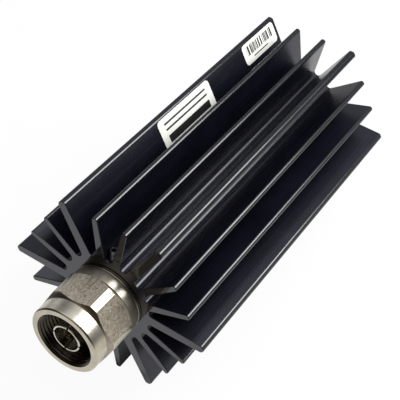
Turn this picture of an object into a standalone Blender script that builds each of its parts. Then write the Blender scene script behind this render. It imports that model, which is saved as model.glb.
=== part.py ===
"""A coaxial dummy load: a plug connector, a finned heat sink and the load inside it.

The axis runs along X, with the plug's mouth towards -X, and +Z is up.  The heat sink is an
extrusion of eighteen radial fins whose tips lie on a hexagon, and it rests on one side of that
hexagon.  The origin is at the middle of the whole part's box, on the surface it rests on.

Along the axis a place is given by its depth: the distance behind the heat sink's front face, so
what stands in front of that face has a negative depth.  Round the axis an angle is measured in
degrees from straight up, towards -Y.
"""

import math

import bmesh
import bpy
import numpy as np

MM = 0.001
TURN = 2.0 * math.pi

# Clearance between pieces that meet, and how far a cutter reaches past what it cuts
SEAT_GAP = 0.3 * MM
CUT_MARGIN = 1.0 * MM

# Heat sink extrusion; fin thicknesses are those at the valley floors and at the envelope's sides
SINK_LENGTH = 100.0 * MM
ENVELOPE_ACROSS_FLATS = 49.6 * MM
ENVELOPE_SIDES = 6
FIN_COUNT = 18
BORE_RADIUS = 8.0 * MM
CORE_WALL = 4.75 * MM
FIN_FOOT_THICKNESS = 2.26 * MM
FIN_TIP_THICKNESS = 1.54 * MM
CORNER_FOOT_THICKNESS = 3.03 * MM
CORNER_TIP_THICKNESS = 2.48 * MM
TIP_ROUND = 0.4 * MM

# Grub screw, upright in the top valley of the heat sink, near its front
SCREW_RADIUS = 1.25 * MM
SCREW_SOCKET_ACROSS_FLATS = 1.3 * MM
SCREW_SOCKET_DEPTH = 1.8 * MM
SCREW_STANDOUT = 2.25 * MM
SCREW_POINT_RADIUS = 0.7 * MM
SCREW_DEPTH = 3.0 * MM

# Washer between the connector and the heat sink
WASHER_THICKNESS = 0.5 * MM

# Coaxial line: its bore, and the ferrule and spigot walls round it
LINE_RADIUS = 3.5 * MM
FERRULE_WALL = 0.53 * MM
SPIGOT_WALL = 1.7 * MM

# Connector body
FLANGE_OVERLAP = 2.0 * MM
FLANGE_THICKNESS = 2.5 * MM
FLANGE_CHAMFER = 0.2 * MM
NECK_UNDERCUT = 0.6 * MM
NECK_LENGTH = 0.35 * MM
NOSE_WALL = 0.62 * MM
NOSE_LENGTH = 2.3 * MM
BARREL_STEP = 1.05 * MM
SPIGOT_LENGTH = 8.0 * MM

# Retaining ring and the grooves it sits in
RING_SLOT_WIDTH = 1.6 * MM
BARREL_SLOT_DEPTH = 0.8 * MM
NUT_SLOT_DEPTH = 0.9 * MM
RING_OPENING = 1.6 * MM

# Coupling nut; the flat angle is that of the hexagon's first flat
NUT_LENGTH = 13.3 * MM
NUT_ACROSS_FLATS = 18.7 * MM
NUT_FLAT_ANGLE = -4.7
NUT_CORNER_STANDOUT = 0.9 * MM
NUT_REAR_CHAMFER = 0.8 * MM
NUT_REAR_CHAMFER_LENGTH = 0.5 * MM
NUT_GROOVE_WIDTH = 0.2 * MM
NUT_GROOVE_DEPTH = 0.05 * MM
NUT_SLOPE_LENGTH = 1.25 * MM
COLLAR_LENGTH = 4.3 * MM
COLLAR_FACE_WIDTH = 1.36 * MM
COLLAR_CHAMFER = 0.34 * MM
THREAD_BORE_RADIUS = 7.6 * MM
MOUTH_CHAMFER = 0.45 * MM
WEB_THICKNESS = 4.4 * MM
RELIEF_DEPTH = 0.45 * MM
RELIEF_WIDTH = 1.0 * MM

# Sealing gasket in the nut
GASKET_THICKNESS = 1.0 * MM

# Outer contact, a ferrule with slots between its spring fingers
FERRULE_SETBACK = 0.9 * MM
FERRULE_SEAT_LENGTH = 3.4 * MM
FERRULE_SLOTS = 4
FERRULE_SLOT_WIDTH = 0.5 * MM
FERRULE_SLOT_LENGTH = 5.0 * MM
FERRULE_SLOT_ANGLE = 5.0
FERRULE_LIP = 0.15 * MM

# Centre contact, the beads that hold it, and the collet behind it
PIN_TIP_RADIUS = 0.83 * MM
PIN_NOSE_LENGTH = 0.7 * MM
PIN_TIP_LENGTH = 5.0 * MM
PIN_TIP_SETBACK = 0.4 * MM
PIN_SHOULDER_RADIUS = 1.52 * MM
PIN_SHOULDER_END = 2.0 * MM
PIN_CONE_LENGTH = 0.35 * MM
COLLET_WALL = 0.42 * MM
COLLET_SOCKET_LENGTH = 4.0 * MM
COLLET_WEB = 1.4 * MM
FRONT_BEAD_LENGTH = 2.4 * MM
REAR_BEAD_LENGTH = 3.0 * MM
REAR_BEAD_SETBACK = 1.1 * MM

# Load resistor and its two terminal caps
ROD_RADIUS = 2.0 * MM
CAP_WALL = 0.3 * MM
CAP_LENGTH = 4.0 * MM
CAP_CONE_LENGTH = 1.7 * MM
TERMINAL_LIP = 2.4 * MM
TERMINAL_FLANGE_THICKNESS = 1.4 * MM

# Sleeve round the resistor, whose bore narrows towards the rear like a horn
SLEEVE_LINE_END = 13.0 * MM
HORN_GAP = 2.0 * MM
HORN_FLARE_LENGTH = 4.3 * MM

# Spring and plug at the rear
SPRING_THICKNESS = 0.5 * MM
SPRING_CONE = 0.8 * MM
SPRING_HOLE_RADIUS = 2.2 * MM
PLUG_NOSE_LENGTH = 0.7 * MM
PLUG_SHANK_LENGTH = 11.0 * MM
PLUG_LIP = 2.5 * MM
PLUG_FLANGE_THICKNESS = 1.0 * MM
SPANNER_HOLE_RADIUS = 0.9 * MM
SPANNER_HOLE_DEPTH = 2.5 * MM
SPANNER_HOLE_PITCH_RADIUS = 5.0 * MM

# Labels on the corner fin left of the top
LABEL_FIN = 0
LABEL_THICKNESS = 0.12 * MM
LABEL_CORNER = 1.2 * MM
PRODUCT_LABEL_LENGTH = 24.6 * MM
PRODUCT_LABEL_START = 38.0 * MM
PRODUCT_LABEL_MARGIN = 1.2 * MM
PRODUCT_LABEL_FOOT_GAP = 2.3 * MM
SERIAL_LABEL_LENGTH = 17.6 * MM
SERIAL_LABEL_HEIGHT = 6.1 * MM
SERIAL_LABEL_END_GAP = 1.4 * MM
SERIAL_LABEL_MARGIN = 1.0 * MM

# Fineness of round pieces
NUT_SEGMENTS = 72
BORE_SEGMENTS = 64
SLEEVE_SEGMENTS = 48
SMALL_SEGMENTS = 40
PIN_SEGMENTS = 24
VALLEY_STEPS = 6
TIP_ROUND_STEPS = 2
LABEL_ROUND_STEPS = 5
PIN_NOSE_STEPS = 5

# Angles and radii that follow from the sizes above
FIN_PITCH = 360.0 / FIN_COUNT
FINS_PER_SIDE = FIN_COUNT // ENVELOPE_SIDES
SIDE_ANGLE = 360.0 / ENVELOPE_SIDES
ENVELOPE_APOTHEM = ENVELOPE_ACROSS_FLATS / 2.0
ENVELOPE_CORNER = ENVELOPE_APOTHEM / math.cos(math.radians(SIDE_ANGLE / 2.0))
AXIS_HEIGHT = ENVELOPE_APOTHEM
VALLEY_RADIUS = BORE_RADIUS + CORE_WALL
PRODUCT_LABEL_HEIGHT = ENVELOPE_CORNER - PRODUCT_LABEL_MARGIN - VALLEY_RADIUS - PRODUCT_LABEL_FOOT_GAP
BORE_CLEAR_RADIUS = BORE_RADIUS - SEAT_GAP
FLANGE_RADIUS = BORE_RADIUS + FLANGE_OVERLAP
SPIGOT_RADIUS = LINE_RADIUS + SPIGOT_WALL
FERRULE_RADIUS = LINE_RADIUS + FERRULE_WALL
FERRULE_SEAT_RADIUS = FERRULE_RADIUS + SEAT_GAP
NOSE_RADIUS = FERRULE_SEAT_RADIUS + NOSE_WALL
BARREL_RADIUS = NOSE_RADIUS + BARREL_STEP
NUT_HOLE_RADIUS = BARREL_RADIUS + SEAT_GAP
NUT_FLAT_RADIUS = NUT_ACROSS_FLATS / 2.0
NUT_CORNER_RADIUS = NUT_FLAT_RADIUS + NUT_CORNER_STANDOUT
MOUTH_RADIUS = THREAD_BORE_RADIUS + MOUTH_CHAMFER
COLLAR_RADIUS = MOUTH_RADIUS + COLLAR_FACE_WIDTH + COLLAR_CHAMFER
PIN_TAIL_RADIUS = PIN_SHOULDER_RADIUS - COLLET_WALL - SEAT_GAP
CAP_BORE_RADIUS = ROD_RADIUS + SEAT_GAP
CAP_RADIUS = CAP_BORE_RADIUS + CAP_WALL
TERMINAL_FLANGE_RADIUS = CAP_RADIUS + TERMINAL_LIP
SCREW_HOLE_RADIUS = SCREW_RADIUS + SEAT_GAP

# Depths of the pieces in front, from the heat sink's face forwards
WASHER_FRONT = -(SEAT_GAP + WASHER_THICKNESS)
FLANGE_REAR = WASHER_FRONT - SEAT_GAP
FLANGE_FRONT = FLANGE_REAR - FLANGE_THICKNESS
NUT_REAR = FLANGE_FRONT - SEAT_GAP
NUT_FRONT = NUT_REAR - NUT_LENGTH
COLLAR_REAR = NUT_FRONT + COLLAR_LENGTH
WEB_FRONT = NUT_REAR - WEB_THICKNESS
BARREL_FRONT = WEB_FRONT - SEAT_GAP
NOSE_FRONT = BARREL_FRONT - NOSE_LENGTH
RING_SLOT_REAR = (NUT_REAR + WEB_FRONT + RING_SLOT_WIDTH) / 2.0
RING_SLOT_FRONT = RING_SLOT_REAR - RING_SLOT_WIDTH
FERRULE_FRONT = NUT_FRONT + FERRULE_SETBACK
FERRULE_REAR = NOSE_FRONT + FERRULE_SEAT_LENGTH
PIN_TIP = FERRULE_FRONT + PIN_TIP_SETBACK

# Depths of the pieces inside: the front cap from the collet, the rear cap from the plug
COLLET_FRONT = PIN_SHOULDER_END + SEAT_GAP
COLLET_REAR = COLLET_FRONT + 2.0 * COLLET_SOCKET_LENGTH + COLLET_WEB
FRONT_CAP_SHOULDER = COLLET_REAR + SEAT_GAP
FRONT_CAP_FLOOR = FRONT_CAP_SHOULDER + CAP_CONE_LENGTH + CAP_WALL
SLEEVE_REAR = SINK_LENGTH - PLUG_SHANK_LENGTH
SPRING_REAR = SLEEVE_REAR - PLUG_NOSE_LENGTH
SPRING_FRONT = SPRING_REAR - SPRING_CONE - SPRING_THICKNESS
TERMINAL_REAR = SPRING_FRONT - SEAT_GAP
TERMINAL_FLANGE_FRONT = TERMINAL_REAR - TERMINAL_FLANGE_THICKNESS
REAR_CAP_FLOOR = TERMINAL_FLANGE_FRONT - CAP_WALL
PLUG_REAR = SINK_LENGTH + SEAT_GAP + PLUG_FLANGE_THICKNESS

# The whole part's length, and where the heat sink's front face lies in X
TOTAL_LENGTH = PLUG_REAR - NUT_FRONT
FRONT_X = -TOTAL_LENGTH / 2.0 - NUT_FRONT


def clear_scene():
    """Remove what the file opens with."""
    for item in list(bpy.data.objects):
        bpy.data.objects.remove(item, do_unlink=True)


def make_material(name, colour, roughness, metallic):
    """A plain Principled material with an sRGB colour given as a hex string."""
    material = bpy.data.materials.new(name)
    material.use_nodes = True
    shader = material.node_tree.nodes["Principled BSDF"]
    channels = [int(colour[i:i + 2], 16) / 255.0 for i in (0, 2, 4)]
    linear = [c / 12.92 if c <= 0.04045 else ((c + 0.055) / 1.055) ** 2.4 for c in channels]
    shader.inputs["Base Color"].default_value = (*linear, 1.0)
    shader.inputs["Roughness"].default_value = roughness
    shader.inputs["Metallic"].default_value = metallic
    return material


def radial(angle):
    """Unit vector (y, z) that points away from the axis at an angle in degrees."""
    a = math.radians(angle)
    return np.array([-math.sin(a), math.cos(a)])


def add_object(name, bm, material, smooth_angle=None):
    """Turn a bmesh into a named object with one material, round parts shaded smooth."""
    mesh = bpy.data.meshes.new(name)
    bm.normal_update()
    bm.to_mesh(mesh)
    bm.free()
    mesh.materials.append(material)
    if smooth_angle is not None:
        mesh.shade_smooth()
        mesh.set_sharp_from_angle(angle=math.radians(smooth_angle))
    item = bpy.data.objects.new(name, mesh)
    bpy.context.scene.collection.objects.link(item)
    return item


def turned(name, outline, material, segments=SMALL_SEGMENTS):
    """Revolve a closed outline of (depth, radius) points about the axis."""
    bm = bmesh.new()
    ring = [bm.verts.new((FRONT_X + depth, 0.0, AXIS_HEIGHT + radius)) for depth, radius in outline]
    edges = [bm.edges.new((ring[i - 1], ring[i])) for i in range(len(ring))]
    bmesh.ops.spin(bm, geom=ring + edges, cent=(0.0, 0.0, AXIS_HEIGHT), axis=(1.0, 0.0, 0.0),
                   angle=TURN, steps=segments, use_merge=True)
    bmesh.ops.remove_doubles(bm, verts=bm.verts, dist=1e-7)
    loose = [edge for edge in bm.edges if not edge.link_faces]
    bmesh.ops.delete(bm, geom=loose, context="EDGES")
    bmesh.ops.recalc_face_normals(bm, faces=bm.faces)
    return add_object(name, bm, material, smooth_angle=25.0)


def extruded(name, loops, depth, length, material, smooth_angle=None):
    """Extrude closed (y, z) loops along the axis; loops after the first are holes."""
    bm = bmesh.new()
    front_edges, rear_edges = [], []
    for loop in loops:
        front = [bm.verts.new((FRONT_X + depth, y, z + AXIS_HEIGHT)) for y, z in loop]
        rear = [bm.verts.new((FRONT_X + depth + length, y, z + AXIS_HEIGHT)) for y, z in loop]
        for i in range(len(loop)):
            bm.faces.new((front[i - 1], front[i], rear[i], rear[i - 1]))
            front_edges.append(bm.edges.get((front[i - 1], front[i])))
            rear_edges.append(bm.edges.get((rear[i - 1], rear[i])))
    for edges in (front_edges, rear_edges):
        bmesh.ops.triangle_fill(bm, edges=edges, use_beauty=True, use_dissolve=False)
    bmesh.ops.recalc_face_normals(bm, faces=bm.faces)
    return add_object(name, bm, material, smooth_angle)


def circle(radius, segments, centre=(0.0, 0.0)):
    """Points of a circle round a centre in the (y, z) plane."""
    angles = np.arange(segments) * TURN / segments
    return np.stack([centre[0] + radius * np.cos(angles), centre[1] + radius * np.sin(angles)], axis=1)


def cut(target, cutter):
    """Subtract a cutter, which stays in the scene as a hidden guide."""
    cutter.hide_render = True
    cutter.display_type = "WIRE"
    modifier = target.modifiers.new("cut_" + cutter.name, "BOOLEAN")
    modifier.operation = "DIFFERENCE"
    modifier.solver = "EXACT"
    modifier.object = cutter


def meet(normal_a, offset_a, normal_b, offset_b):
    """Point where two lines normal . p = offset cross."""
    return np.linalg.solve(np.array([normal_a, normal_b]), np.array([offset_a, offset_b]))


def rounded(before, corner, after, radius, steps):
    """Points of an arc that rounds the corner between two straight sides."""
    into = (before - corner) / np.linalg.norm(before - corner)
    out = (after - corner) / np.linalg.norm(after - corner)
    half = math.acos(float(np.clip(into @ out, -1.0, 1.0))) / 2.0
    bisector = (into + out) / np.linalg.norm(into + out)
    centre = corner + bisector * radius / math.sin(half)
    start = corner + into * radius / math.tan(half) - centre
    end = corner + out * radius / math.tan(half) - centre
    first = math.atan2(start[1], start[0])
    sweep = math.atan2(start[0] * end[1] - start[1] * end[0], float(start @ end))
    angles = first + np.linspace(0.0, 1.0, steps + 1) * sweep
    return [centre + radius * np.array([math.cos(a), math.sin(a)]) for a in angles]


def fin_angle(index):
    """Direction of a fin; every third one points at a corner of the hexagon."""
    return index * FIN_PITCH - SIDE_ANGLE / 2.0


def is_corner_fin(index):
    return index % FINS_PER_SIDE == 0


def fin_side(index, hand):
    """Side face of a fin as a line: its normal into the valley, and the line's offset."""
    if is_corner_fin(index):
        foot, tip = CORNER_FOOT_THICKNESS / 2.0, CORNER_TIP_THICKNESS / 2.0
    else:
        foot, tip = FIN_FOOT_THICKNESS / 2.0, FIN_TIP_THICKNESS / 2.0
    slope = (tip - foot) / (ENVELOPE_APOTHEM - VALLEY_RADIUS)
    angle = fin_angle(index)
    normal = hand * radial(angle + 90.0) - slope * radial(angle)
    length = math.hypot(1.0, slope)
    return normal / length, (foot - slope * VALLEY_RADIUS) / length


def fin_tip(index):
    """Tip of a fin, cut to the hexagon's sides, with its corners rounded."""
    angle = fin_angle(index)
    left_normal, left_offset = fin_side(index, -1.0)
    right_normal, right_offset = fin_side(index, 1.0)
    if is_corner_fin(index):
        left_side, right_side = radial(angle - SIDE_ANGLE / 2.0), radial(angle + SIDE_ANGLE / 2.0)
    else:
        left_side = right_side = radial(round(angle / SIDE_ANGLE) * SIDE_ANGLE)
    left = meet(left_normal, left_offset, left_side, ENVELOPE_APOTHEM)
    right = meet(right_normal, right_offset, right_side, ENVELOPE_APOTHEM)
    corners = [left, right]
    if is_corner_fin(index):
        corners.insert(1, meet(left_side, ENVELOPE_APOTHEM, right_side, ENVELOPE_APOTHEM))
    left_foot = meet(left_normal, left_offset, radial(angle), VALLEY_RADIUS)
    right_foot = meet(right_normal, right_offset, radial(angle), VALLEY_RADIUS)
    chain = [left_foot] + corners + [right_foot]
    points = []
    for before, corner, after in zip(chain, chain[1:], chain[2:]):
        points += rounded(before, corner, after, TIP_ROUND, TIP_ROUND_STEPS)
    return points


def valley(index):
    """Round floor between a fin and the next: the circle that touches both sides and the core."""
    normal_a, offset_a = fin_side(index, 1.0)
    normal_b, offset_b = fin_side(index + 1, -1.0)
    base = meet(normal_a, offset_a, normal_b, offset_b)
    growth = meet(normal_a, 1.0, normal_b, 1.0)
    a = growth @ growth - 1.0
    b = 2.0 * (base @ growth - VALLEY_RADIUS)
    c = base @ base - VALLEY_RADIUS ** 2
    radius = (-b + math.sqrt(b * b - 4.0 * a * c)) / (2.0 * a)
    centre = base + growth * radius
    start, end, floor = -normal_a, -normal_b, -centre / np.linalg.norm(centre)

    def turn_between(p, q):
        return math.atan2(p[0] * q[1] - p[1] * q[0], float(p @ q))

    first = math.atan2(start[1], start[0])
    sweep = turn_between(start, floor) + turn_between(floor, end)
    angles = first + np.linspace(0.0, 1.0, VALLEY_STEPS + 1) * sweep
    return [centre + radius * np.array([math.cos(t), math.sin(t)]) for t in angles]


def sink_outline():
    points = []
    for index in range(FIN_COUNT):
        points += fin_tip(index)
        points += valley(index)
    return np.array(points)


def upright_cylinder(name, depth, radius, bottom, top, material):
    """A cylinder along +Z over the axis, between two heights above the axis."""
    bm = bmesh.new()
    bmesh.ops.create_cone(bm, cap_ends=True, segments=PIN_SEGMENTS, radius1=radius, radius2=radius,
                          depth=top - bottom)
    middle = AXIS_HEIGHT + (top + bottom) / 2.0
    bmesh.ops.translate(bm, verts=bm.verts, vec=(FRONT_X + depth, 0.0, middle))
    return add_object(name, bm, material, smooth_angle=30.0)


def make_heat_sink(material):
    """The extrusion with its bore, and the hole for the grub screw."""
    loops = [sink_outline(), circle(BORE_RADIUS, BORE_SEGMENTS)]
    sink = extruded("heat_sink", loops, 0.0, SINK_LENGTH, material, smooth_angle=28.0)
    top = VALLEY_RADIUS + SCREW_STANDOUT + SCREW_HOLE_RADIUS
    bottom = BORE_RADIUS - SCREW_HOLE_RADIUS
    cut(sink, upright_cylinder("screw_hole_drill", SCREW_DEPTH, SCREW_HOLE_RADIUS, bottom, top, material))


def make_set_screw(material):
    """A grub screw with a cone point on the sleeve and a hexagon socket in its top."""
    top = VALLEY_RADIUS + SCREW_STANDOUT
    shoulder = BORE_RADIUS + SCREW_RADIUS - SCREW_POINT_RADIUS
    angles = np.arange(PIN_SEGMENTS) * TURN / PIN_SEGMENTS
    off_side = np.radians(np.degrees(angles) % 60.0 - 30.0)
    socket = SCREW_SOCKET_ACROSS_FLATS / 2.0 / np.cos(off_side)
    bm = bmesh.new()

    def ring(radii, height):
        xs = FRONT_X + SCREW_DEPTH + radii * np.cos(angles)
        ys = radii * np.sin(angles)
        return [bm.verts.new((x, y, AXIS_HEIGHT + height)) for x, y in zip(xs, ys)]

    rings = [
        ring(SCREW_POINT_RADIUS, BORE_RADIUS),
        ring(SCREW_RADIUS, shoulder),
        ring(SCREW_RADIUS, top),
        ring(socket, top),
        ring(socket, top - SCREW_SOCKET_DEPTH),
    ]
    for lower, upper in zip(rings, rings[1:]):
        for i in range(PIN_SEGMENTS):
            bm.faces.new((lower[i - 1], lower[i], upper[i], upper[i - 1]))
    bm.faces.new(rings[0])
    bm.faces.new(rings[-1])
    bmesh.ops.recalc_face_normals(bm, faces=bm.faces)
    return add_object("set_screw", bm, material, smooth_angle=25.0)


def make_washer(material):
    """A thin flat ring the size of the connector's flange."""
    hole = SPIGOT_RADIUS + SEAT_GAP
    rear = -SEAT_GAP
    outline = [(rear, hole), (rear, FLANGE_RADIUS), (WASHER_FRONT, FLANGE_RADIUS), (WASHER_FRONT, hole)]
    return turned("mounting_washer", outline, material, NUT_SEGMENTS)


def make_connector_body(material):
    """Flange, grooved barrel for the nut, nose for the gasket and a spigot into the sleeve."""
    neck_radius = FLANGE_RADIUS - NECK_UNDERCUT
    neck_end = FLANGE_REAR - NECK_LENGTH
    slot_radius = BARREL_RADIUS - BARREL_SLOT_DEPTH
    seat_end = FERRULE_REAR + SEAT_GAP
    outline = [
        (SPIGOT_LENGTH, LINE_RADIUS),
        (SPIGOT_LENGTH, SPIGOT_RADIUS - FLANGE_CHAMFER),
        (SPIGOT_LENGTH - FLANGE_CHAMFER, SPIGOT_RADIUS),
        (FLANGE_REAR, SPIGOT_RADIUS),
        (FLANGE_REAR, neck_radius),
        (neck_end, neck_radius),
        (neck_end, FLANGE_RADIUS),
        (FLANGE_FRONT + FLANGE_CHAMFER, FLANGE_RADIUS),
        (FLANGE_FRONT, FLANGE_RADIUS - FLANGE_CHAMFER),
        (FLANGE_FRONT, BARREL_RADIUS),
        (RING_SLOT_REAR, BARREL_RADIUS),
        (RING_SLOT_REAR, slot_radius),
        (RING_SLOT_FRONT, slot_radius),
        (RING_SLOT_FRONT, BARREL_RADIUS),
        (BARREL_FRONT + FLANGE_CHAMFER, BARREL_RADIUS),
        (BARREL_FRONT, BARREL_RADIUS - FLANGE_CHAMFER),
        (BARREL_FRONT, NOSE_RADIUS),
        (NOSE_FRONT, NOSE_RADIUS),
        (NOSE_FRONT, FERRULE_SEAT_RADIUS),
        (seat_end, FERRULE_SEAT_RADIUS),
        (seat_end, LINE_RADIUS),
    ]
    return turned("connector_body", outline, material, NUT_SEGMENTS)


def make_retaining_ring(material):
    """A split ring that sits half in the barrel's groove and half in the nut's."""
    inner = BARREL_RADIUS - BARREL_SLOT_DEPTH + SEAT_GAP
    outer = NUT_HOLE_RADIUS + NUT_SLOT_DEPTH - SEAT_GAP
    front = RING_SLOT_FRONT + SEAT_GAP
    thickness = RING_SLOT_WIDTH - 2.0 * SEAT_GAP
    half_gap = math.asin(RING_OPENING / (2.0 * outer))
    angles = np.linspace(half_gap, TURN - half_gap, SMALL_SEGMENTS)
    spokes = np.stack([np.cos(angles), np.sin(angles)], axis=1)
    loop = np.concatenate([spokes * outer, spokes[::-1] * inner])
    return extruded("retaining_ring", [loop], front, thickness, material, smooth_angle=25.0)


def make_coupling_nut(material):
    """Collar, hexagon with turned-off corners, bore for the thread, and a web over the barrel."""
    groove_radius = NUT_FLAT_RADIUS - NUT_GROOVE_DEPTH
    groove_rear = COLLAR_REAR + NUT_GROOVE_WIDTH
    slope_end = groove_rear + NUT_SLOPE_LENGTH
    slot_radius = NUT_HOLE_RADIUS + NUT_SLOT_DEPTH
    relief_radius = THREAD_BORE_RADIUS + RELIEF_DEPTH
    relief_front = WEB_FRONT - RELIEF_WIDTH
    outline = [
        (NUT_REAR, NUT_HOLE_RADIUS),
        (NUT_REAR, NUT_CORNER_RADIUS - NUT_REAR_CHAMFER),
        (NUT_REAR - NUT_REAR_CHAMFER_LENGTH, NUT_CORNER_RADIUS),
        (slope_end, NUT_CORNER_RADIUS),
        (groove_rear, groove_radius),
        (COLLAR_REAR, groove_radius),
        (COLLAR_REAR, COLLAR_RADIUS),
        (NUT_FRONT + COLLAR_CHAMFER, COLLAR_RADIUS),
        (NUT_FRONT, COLLAR_RADIUS - COLLAR_CHAMFER),
        (NUT_FRONT, MOUTH_RADIUS),
        (NUT_FRONT + MOUTH_CHAMFER, THREAD_BORE_RADIUS),
        (relief_front, THREAD_BORE_RADIUS),
        (relief_front, relief_radius),
        (WEB_FRONT, relief_radius),
        (WEB_FRONT, NUT_HOLE_RADIUS),
        (RING_SLOT_FRONT, NUT_HOLE_RADIUS),
        (RING_SLOT_FRONT, slot_radius),
        (RING_SLOT_REAR, slot_radius),
        (RING_SLOT_REAR, NUT_HOLE_RADIUS),
    ]
    nut = turned("coupling_nut", outline, material, NUT_SEGMENTS)
    front = groove_rear - NUT_GROOVE_WIDTH / 2.0
    reach = NUT_CORNER_RADIUS + CUT_MARGIN
    half_width = min(math.sqrt(NUT_CORNER_RADIUS ** 2 - NUT_FLAT_RADIUS ** 2) + SEAT_GAP,
                     NUT_FLAT_RADIUS * math.tan(math.radians(29.5)))
    flats = [NUT_FLAT_ANGLE + 60.0 * i for i in range(6)]
    cut(nut, slab_cutter("nut_flat_cutter", flats, half_width, (NUT_FLAT_RADIUS, reach),
                         (front, NUT_REAR + CUT_MARGIN), material))


def slab_cutter(name, angles, half_width, reach, depths, material):
    """Blocks round the axis, one at each angle, from one radius to another and between two depths."""
    bm = bmesh.new()
    for angle in angles:
        out, along = radial(angle), radial(angle + 90.0)
        corners = [out * reach[0] - along * half_width, out * reach[0] + along * half_width,
                   out * reach[1] + along * half_width, out * reach[1] - along * half_width]
        near, far = ([bm.verts.new((FRONT_X + depth, y, z + AXIS_HEIGHT)) for y, z in corners]
                     for depth in depths)
        bm.faces.new(near)
        bm.faces.new(far)
        for i in range(4):
            bm.faces.new((near[i - 1], near[i], far[i], far[i - 1]))
    bmesh.ops.recalc_face_normals(bm, faces=bm.faces)
    return add_object(name, bm, material)


def make_gasket(material):
    """A flat rubber ring on the connector's nose, inside the nut."""
    inner = NOSE_RADIUS + SEAT_GAP
    outer = THREAD_BORE_RADIUS - SEAT_GAP
    rear = BARREL_FRONT - SEAT_GAP
    front = rear - GASKET_THICKNESS
    outline = [(rear, inner), (rear, outer), (front, outer), (front, inner)]
    return turned("nut_gasket", outline, material, NUT_SEGMENTS)


def make_outer_contact(material):
    """A ferrule whose front is slit into spring fingers."""
    outline = [
        (FERRULE_REAR, LINE_RADIUS),
        (FERRULE_REAR, FERRULE_RADIUS),
        (FERRULE_FRONT + FERRULE_LIP, FERRULE_RADIUS),
        (FERRULE_FRONT, FERRULE_RADIUS - FERRULE_LIP),
        (FERRULE_FRONT, LINE_RADIUS),
    ]
    ferrule = turned("outer_contact", outline, material, SLEEVE_SEGMENTS)
    slots = [FERRULE_SLOT_ANGLE + 360.0 * i / FERRULE_SLOTS for i in range(FERRULE_SLOTS)]
    reach = (LINE_RADIUS - CUT_MARGIN, FERRULE_RADIUS + CUT_MARGIN)
    depths = (FERRULE_FRONT - CUT_MARGIN, FERRULE_FRONT + FERRULE_SLOT_LENGTH)
    half_width = FERRULE_SLOT_WIDTH / 2.0
    cut(ferrule, slab_cutter("ferrule_slot_cutter", slots, half_width, reach, depths, material))


def make_center_pin(material):
    """Rounded tip, shoulder that fills the line, and a tail for the collet."""
    cone_end = PIN_TIP + PIN_TIP_LENGTH
    tail_end = PIN_SHOULDER_END + COLLET_SOCKET_LENGTH
    nose = [(PIN_TIP + PIN_NOSE_LENGTH * (1.0 - math.cos(a)), PIN_TIP_RADIUS * math.sin(a))
            for a in np.linspace(0.0, TURN / 4.0, PIN_NOSE_STEPS + 1)]
    outline = nose + [
        (cone_end - PIN_CONE_LENGTH, PIN_TIP_RADIUS),
        (cone_end, PIN_SHOULDER_RADIUS),
        (PIN_SHOULDER_END, PIN_SHOULDER_RADIUS),
        (PIN_SHOULDER_END, PIN_TAIL_RADIUS),
        (tail_end, PIN_TAIL_RADIUS),
        (tail_end, 0.0),
    ]
    return turned("center_pin", outline, material, PIN_SEGMENTS)


def make_bead(name, depth, length, material):
    """An insulating bead that holds the pin in the middle of the line."""
    inner = PIN_SHOULDER_RADIUS + SEAT_GAP
    outer = LINE_RADIUS - SEAT_GAP
    outline = [(depth, inner), (depth + length, inner), (depth + length, outer), (depth, outer)]
    return turned(name, outline, material)


def make_collet(material):
    """A plated sleeve with a socket at each end, from the pin to the resistor."""
    hole = PIN_TAIL_RADIUS + SEAT_GAP
    outline = [
        (COLLET_FRONT, hole), (COLLET_FRONT, PIN_SHOULDER_RADIUS),
        (COLLET_REAR, PIN_SHOULDER_RADIUS), (COLLET_REAR, hole),
        (COLLET_REAR - COLLET_SOCKET_LENGTH, hole), (COLLET_REAR - COLLET_SOCKET_LENGTH, 0.0),
        (COLLET_FRONT + COLLET_SOCKET_LENGTH, 0.0), (COLLET_FRONT + COLLET_SOCKET_LENGTH, hole),
    ]
    return turned("contact_collet", outline, material, PIN_SEGMENTS)


def make_front_terminal(material):
    """A stub for the collet that widens to a cup round the resistor's front end."""
    stub_tip = COLLET_REAR - COLLET_SOCKET_LENGTH + SEAT_GAP
    rim = FRONT_CAP_FLOOR + CAP_LENGTH
    outline = [
        (stub_tip, 0.0), (stub_tip, PIN_TAIL_RADIUS), (FRONT_CAP_SHOULDER, PIN_TAIL_RADIUS),
        (FRONT_CAP_SHOULDER, PIN_SHOULDER_RADIUS), (FRONT_CAP_SHOULDER + CAP_CONE_LENGTH, CAP_RADIUS),
        (rim, CAP_RADIUS), (rim, CAP_BORE_RADIUS),
        (FRONT_CAP_FLOOR, CAP_BORE_RADIUS), (FRONT_CAP_FLOOR, 0.0),
    ]
    return turned("front_terminal", outline, material)


def make_resistor_rod(material):
    """A plain film-coated ceramic rod between the two caps."""
    start = FRONT_CAP_FLOOR + SEAT_GAP
    end = REAR_CAP_FLOOR - SEAT_GAP
    outline = [(start, 0.0), (start, ROD_RADIUS), (end, ROD_RADIUS), (end, 0.0)]
    return turned("resistor_rod", outline, material)


def make_rear_terminal(material):
    """A cup round the resistor's rear end, with the flange that the spring presses."""
    rim = REAR_CAP_FLOOR - CAP_LENGTH
    outline = [
        (rim, CAP_BORE_RADIUS), (rim, CAP_RADIUS), (TERMINAL_FLANGE_FRONT, CAP_RADIUS),
        (TERMINAL_FLANGE_FRONT, TERMINAL_FLANGE_RADIUS), (TERMINAL_REAR, TERMINAL_FLANGE_RADIUS),
        (TERMINAL_REAR, 0.0), (REAR_CAP_FLOOR, 0.0), (REAR_CAP_FLOOR, CAP_BORE_RADIUS),
    ]
    return turned("rear_terminal", outline, material)


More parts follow.
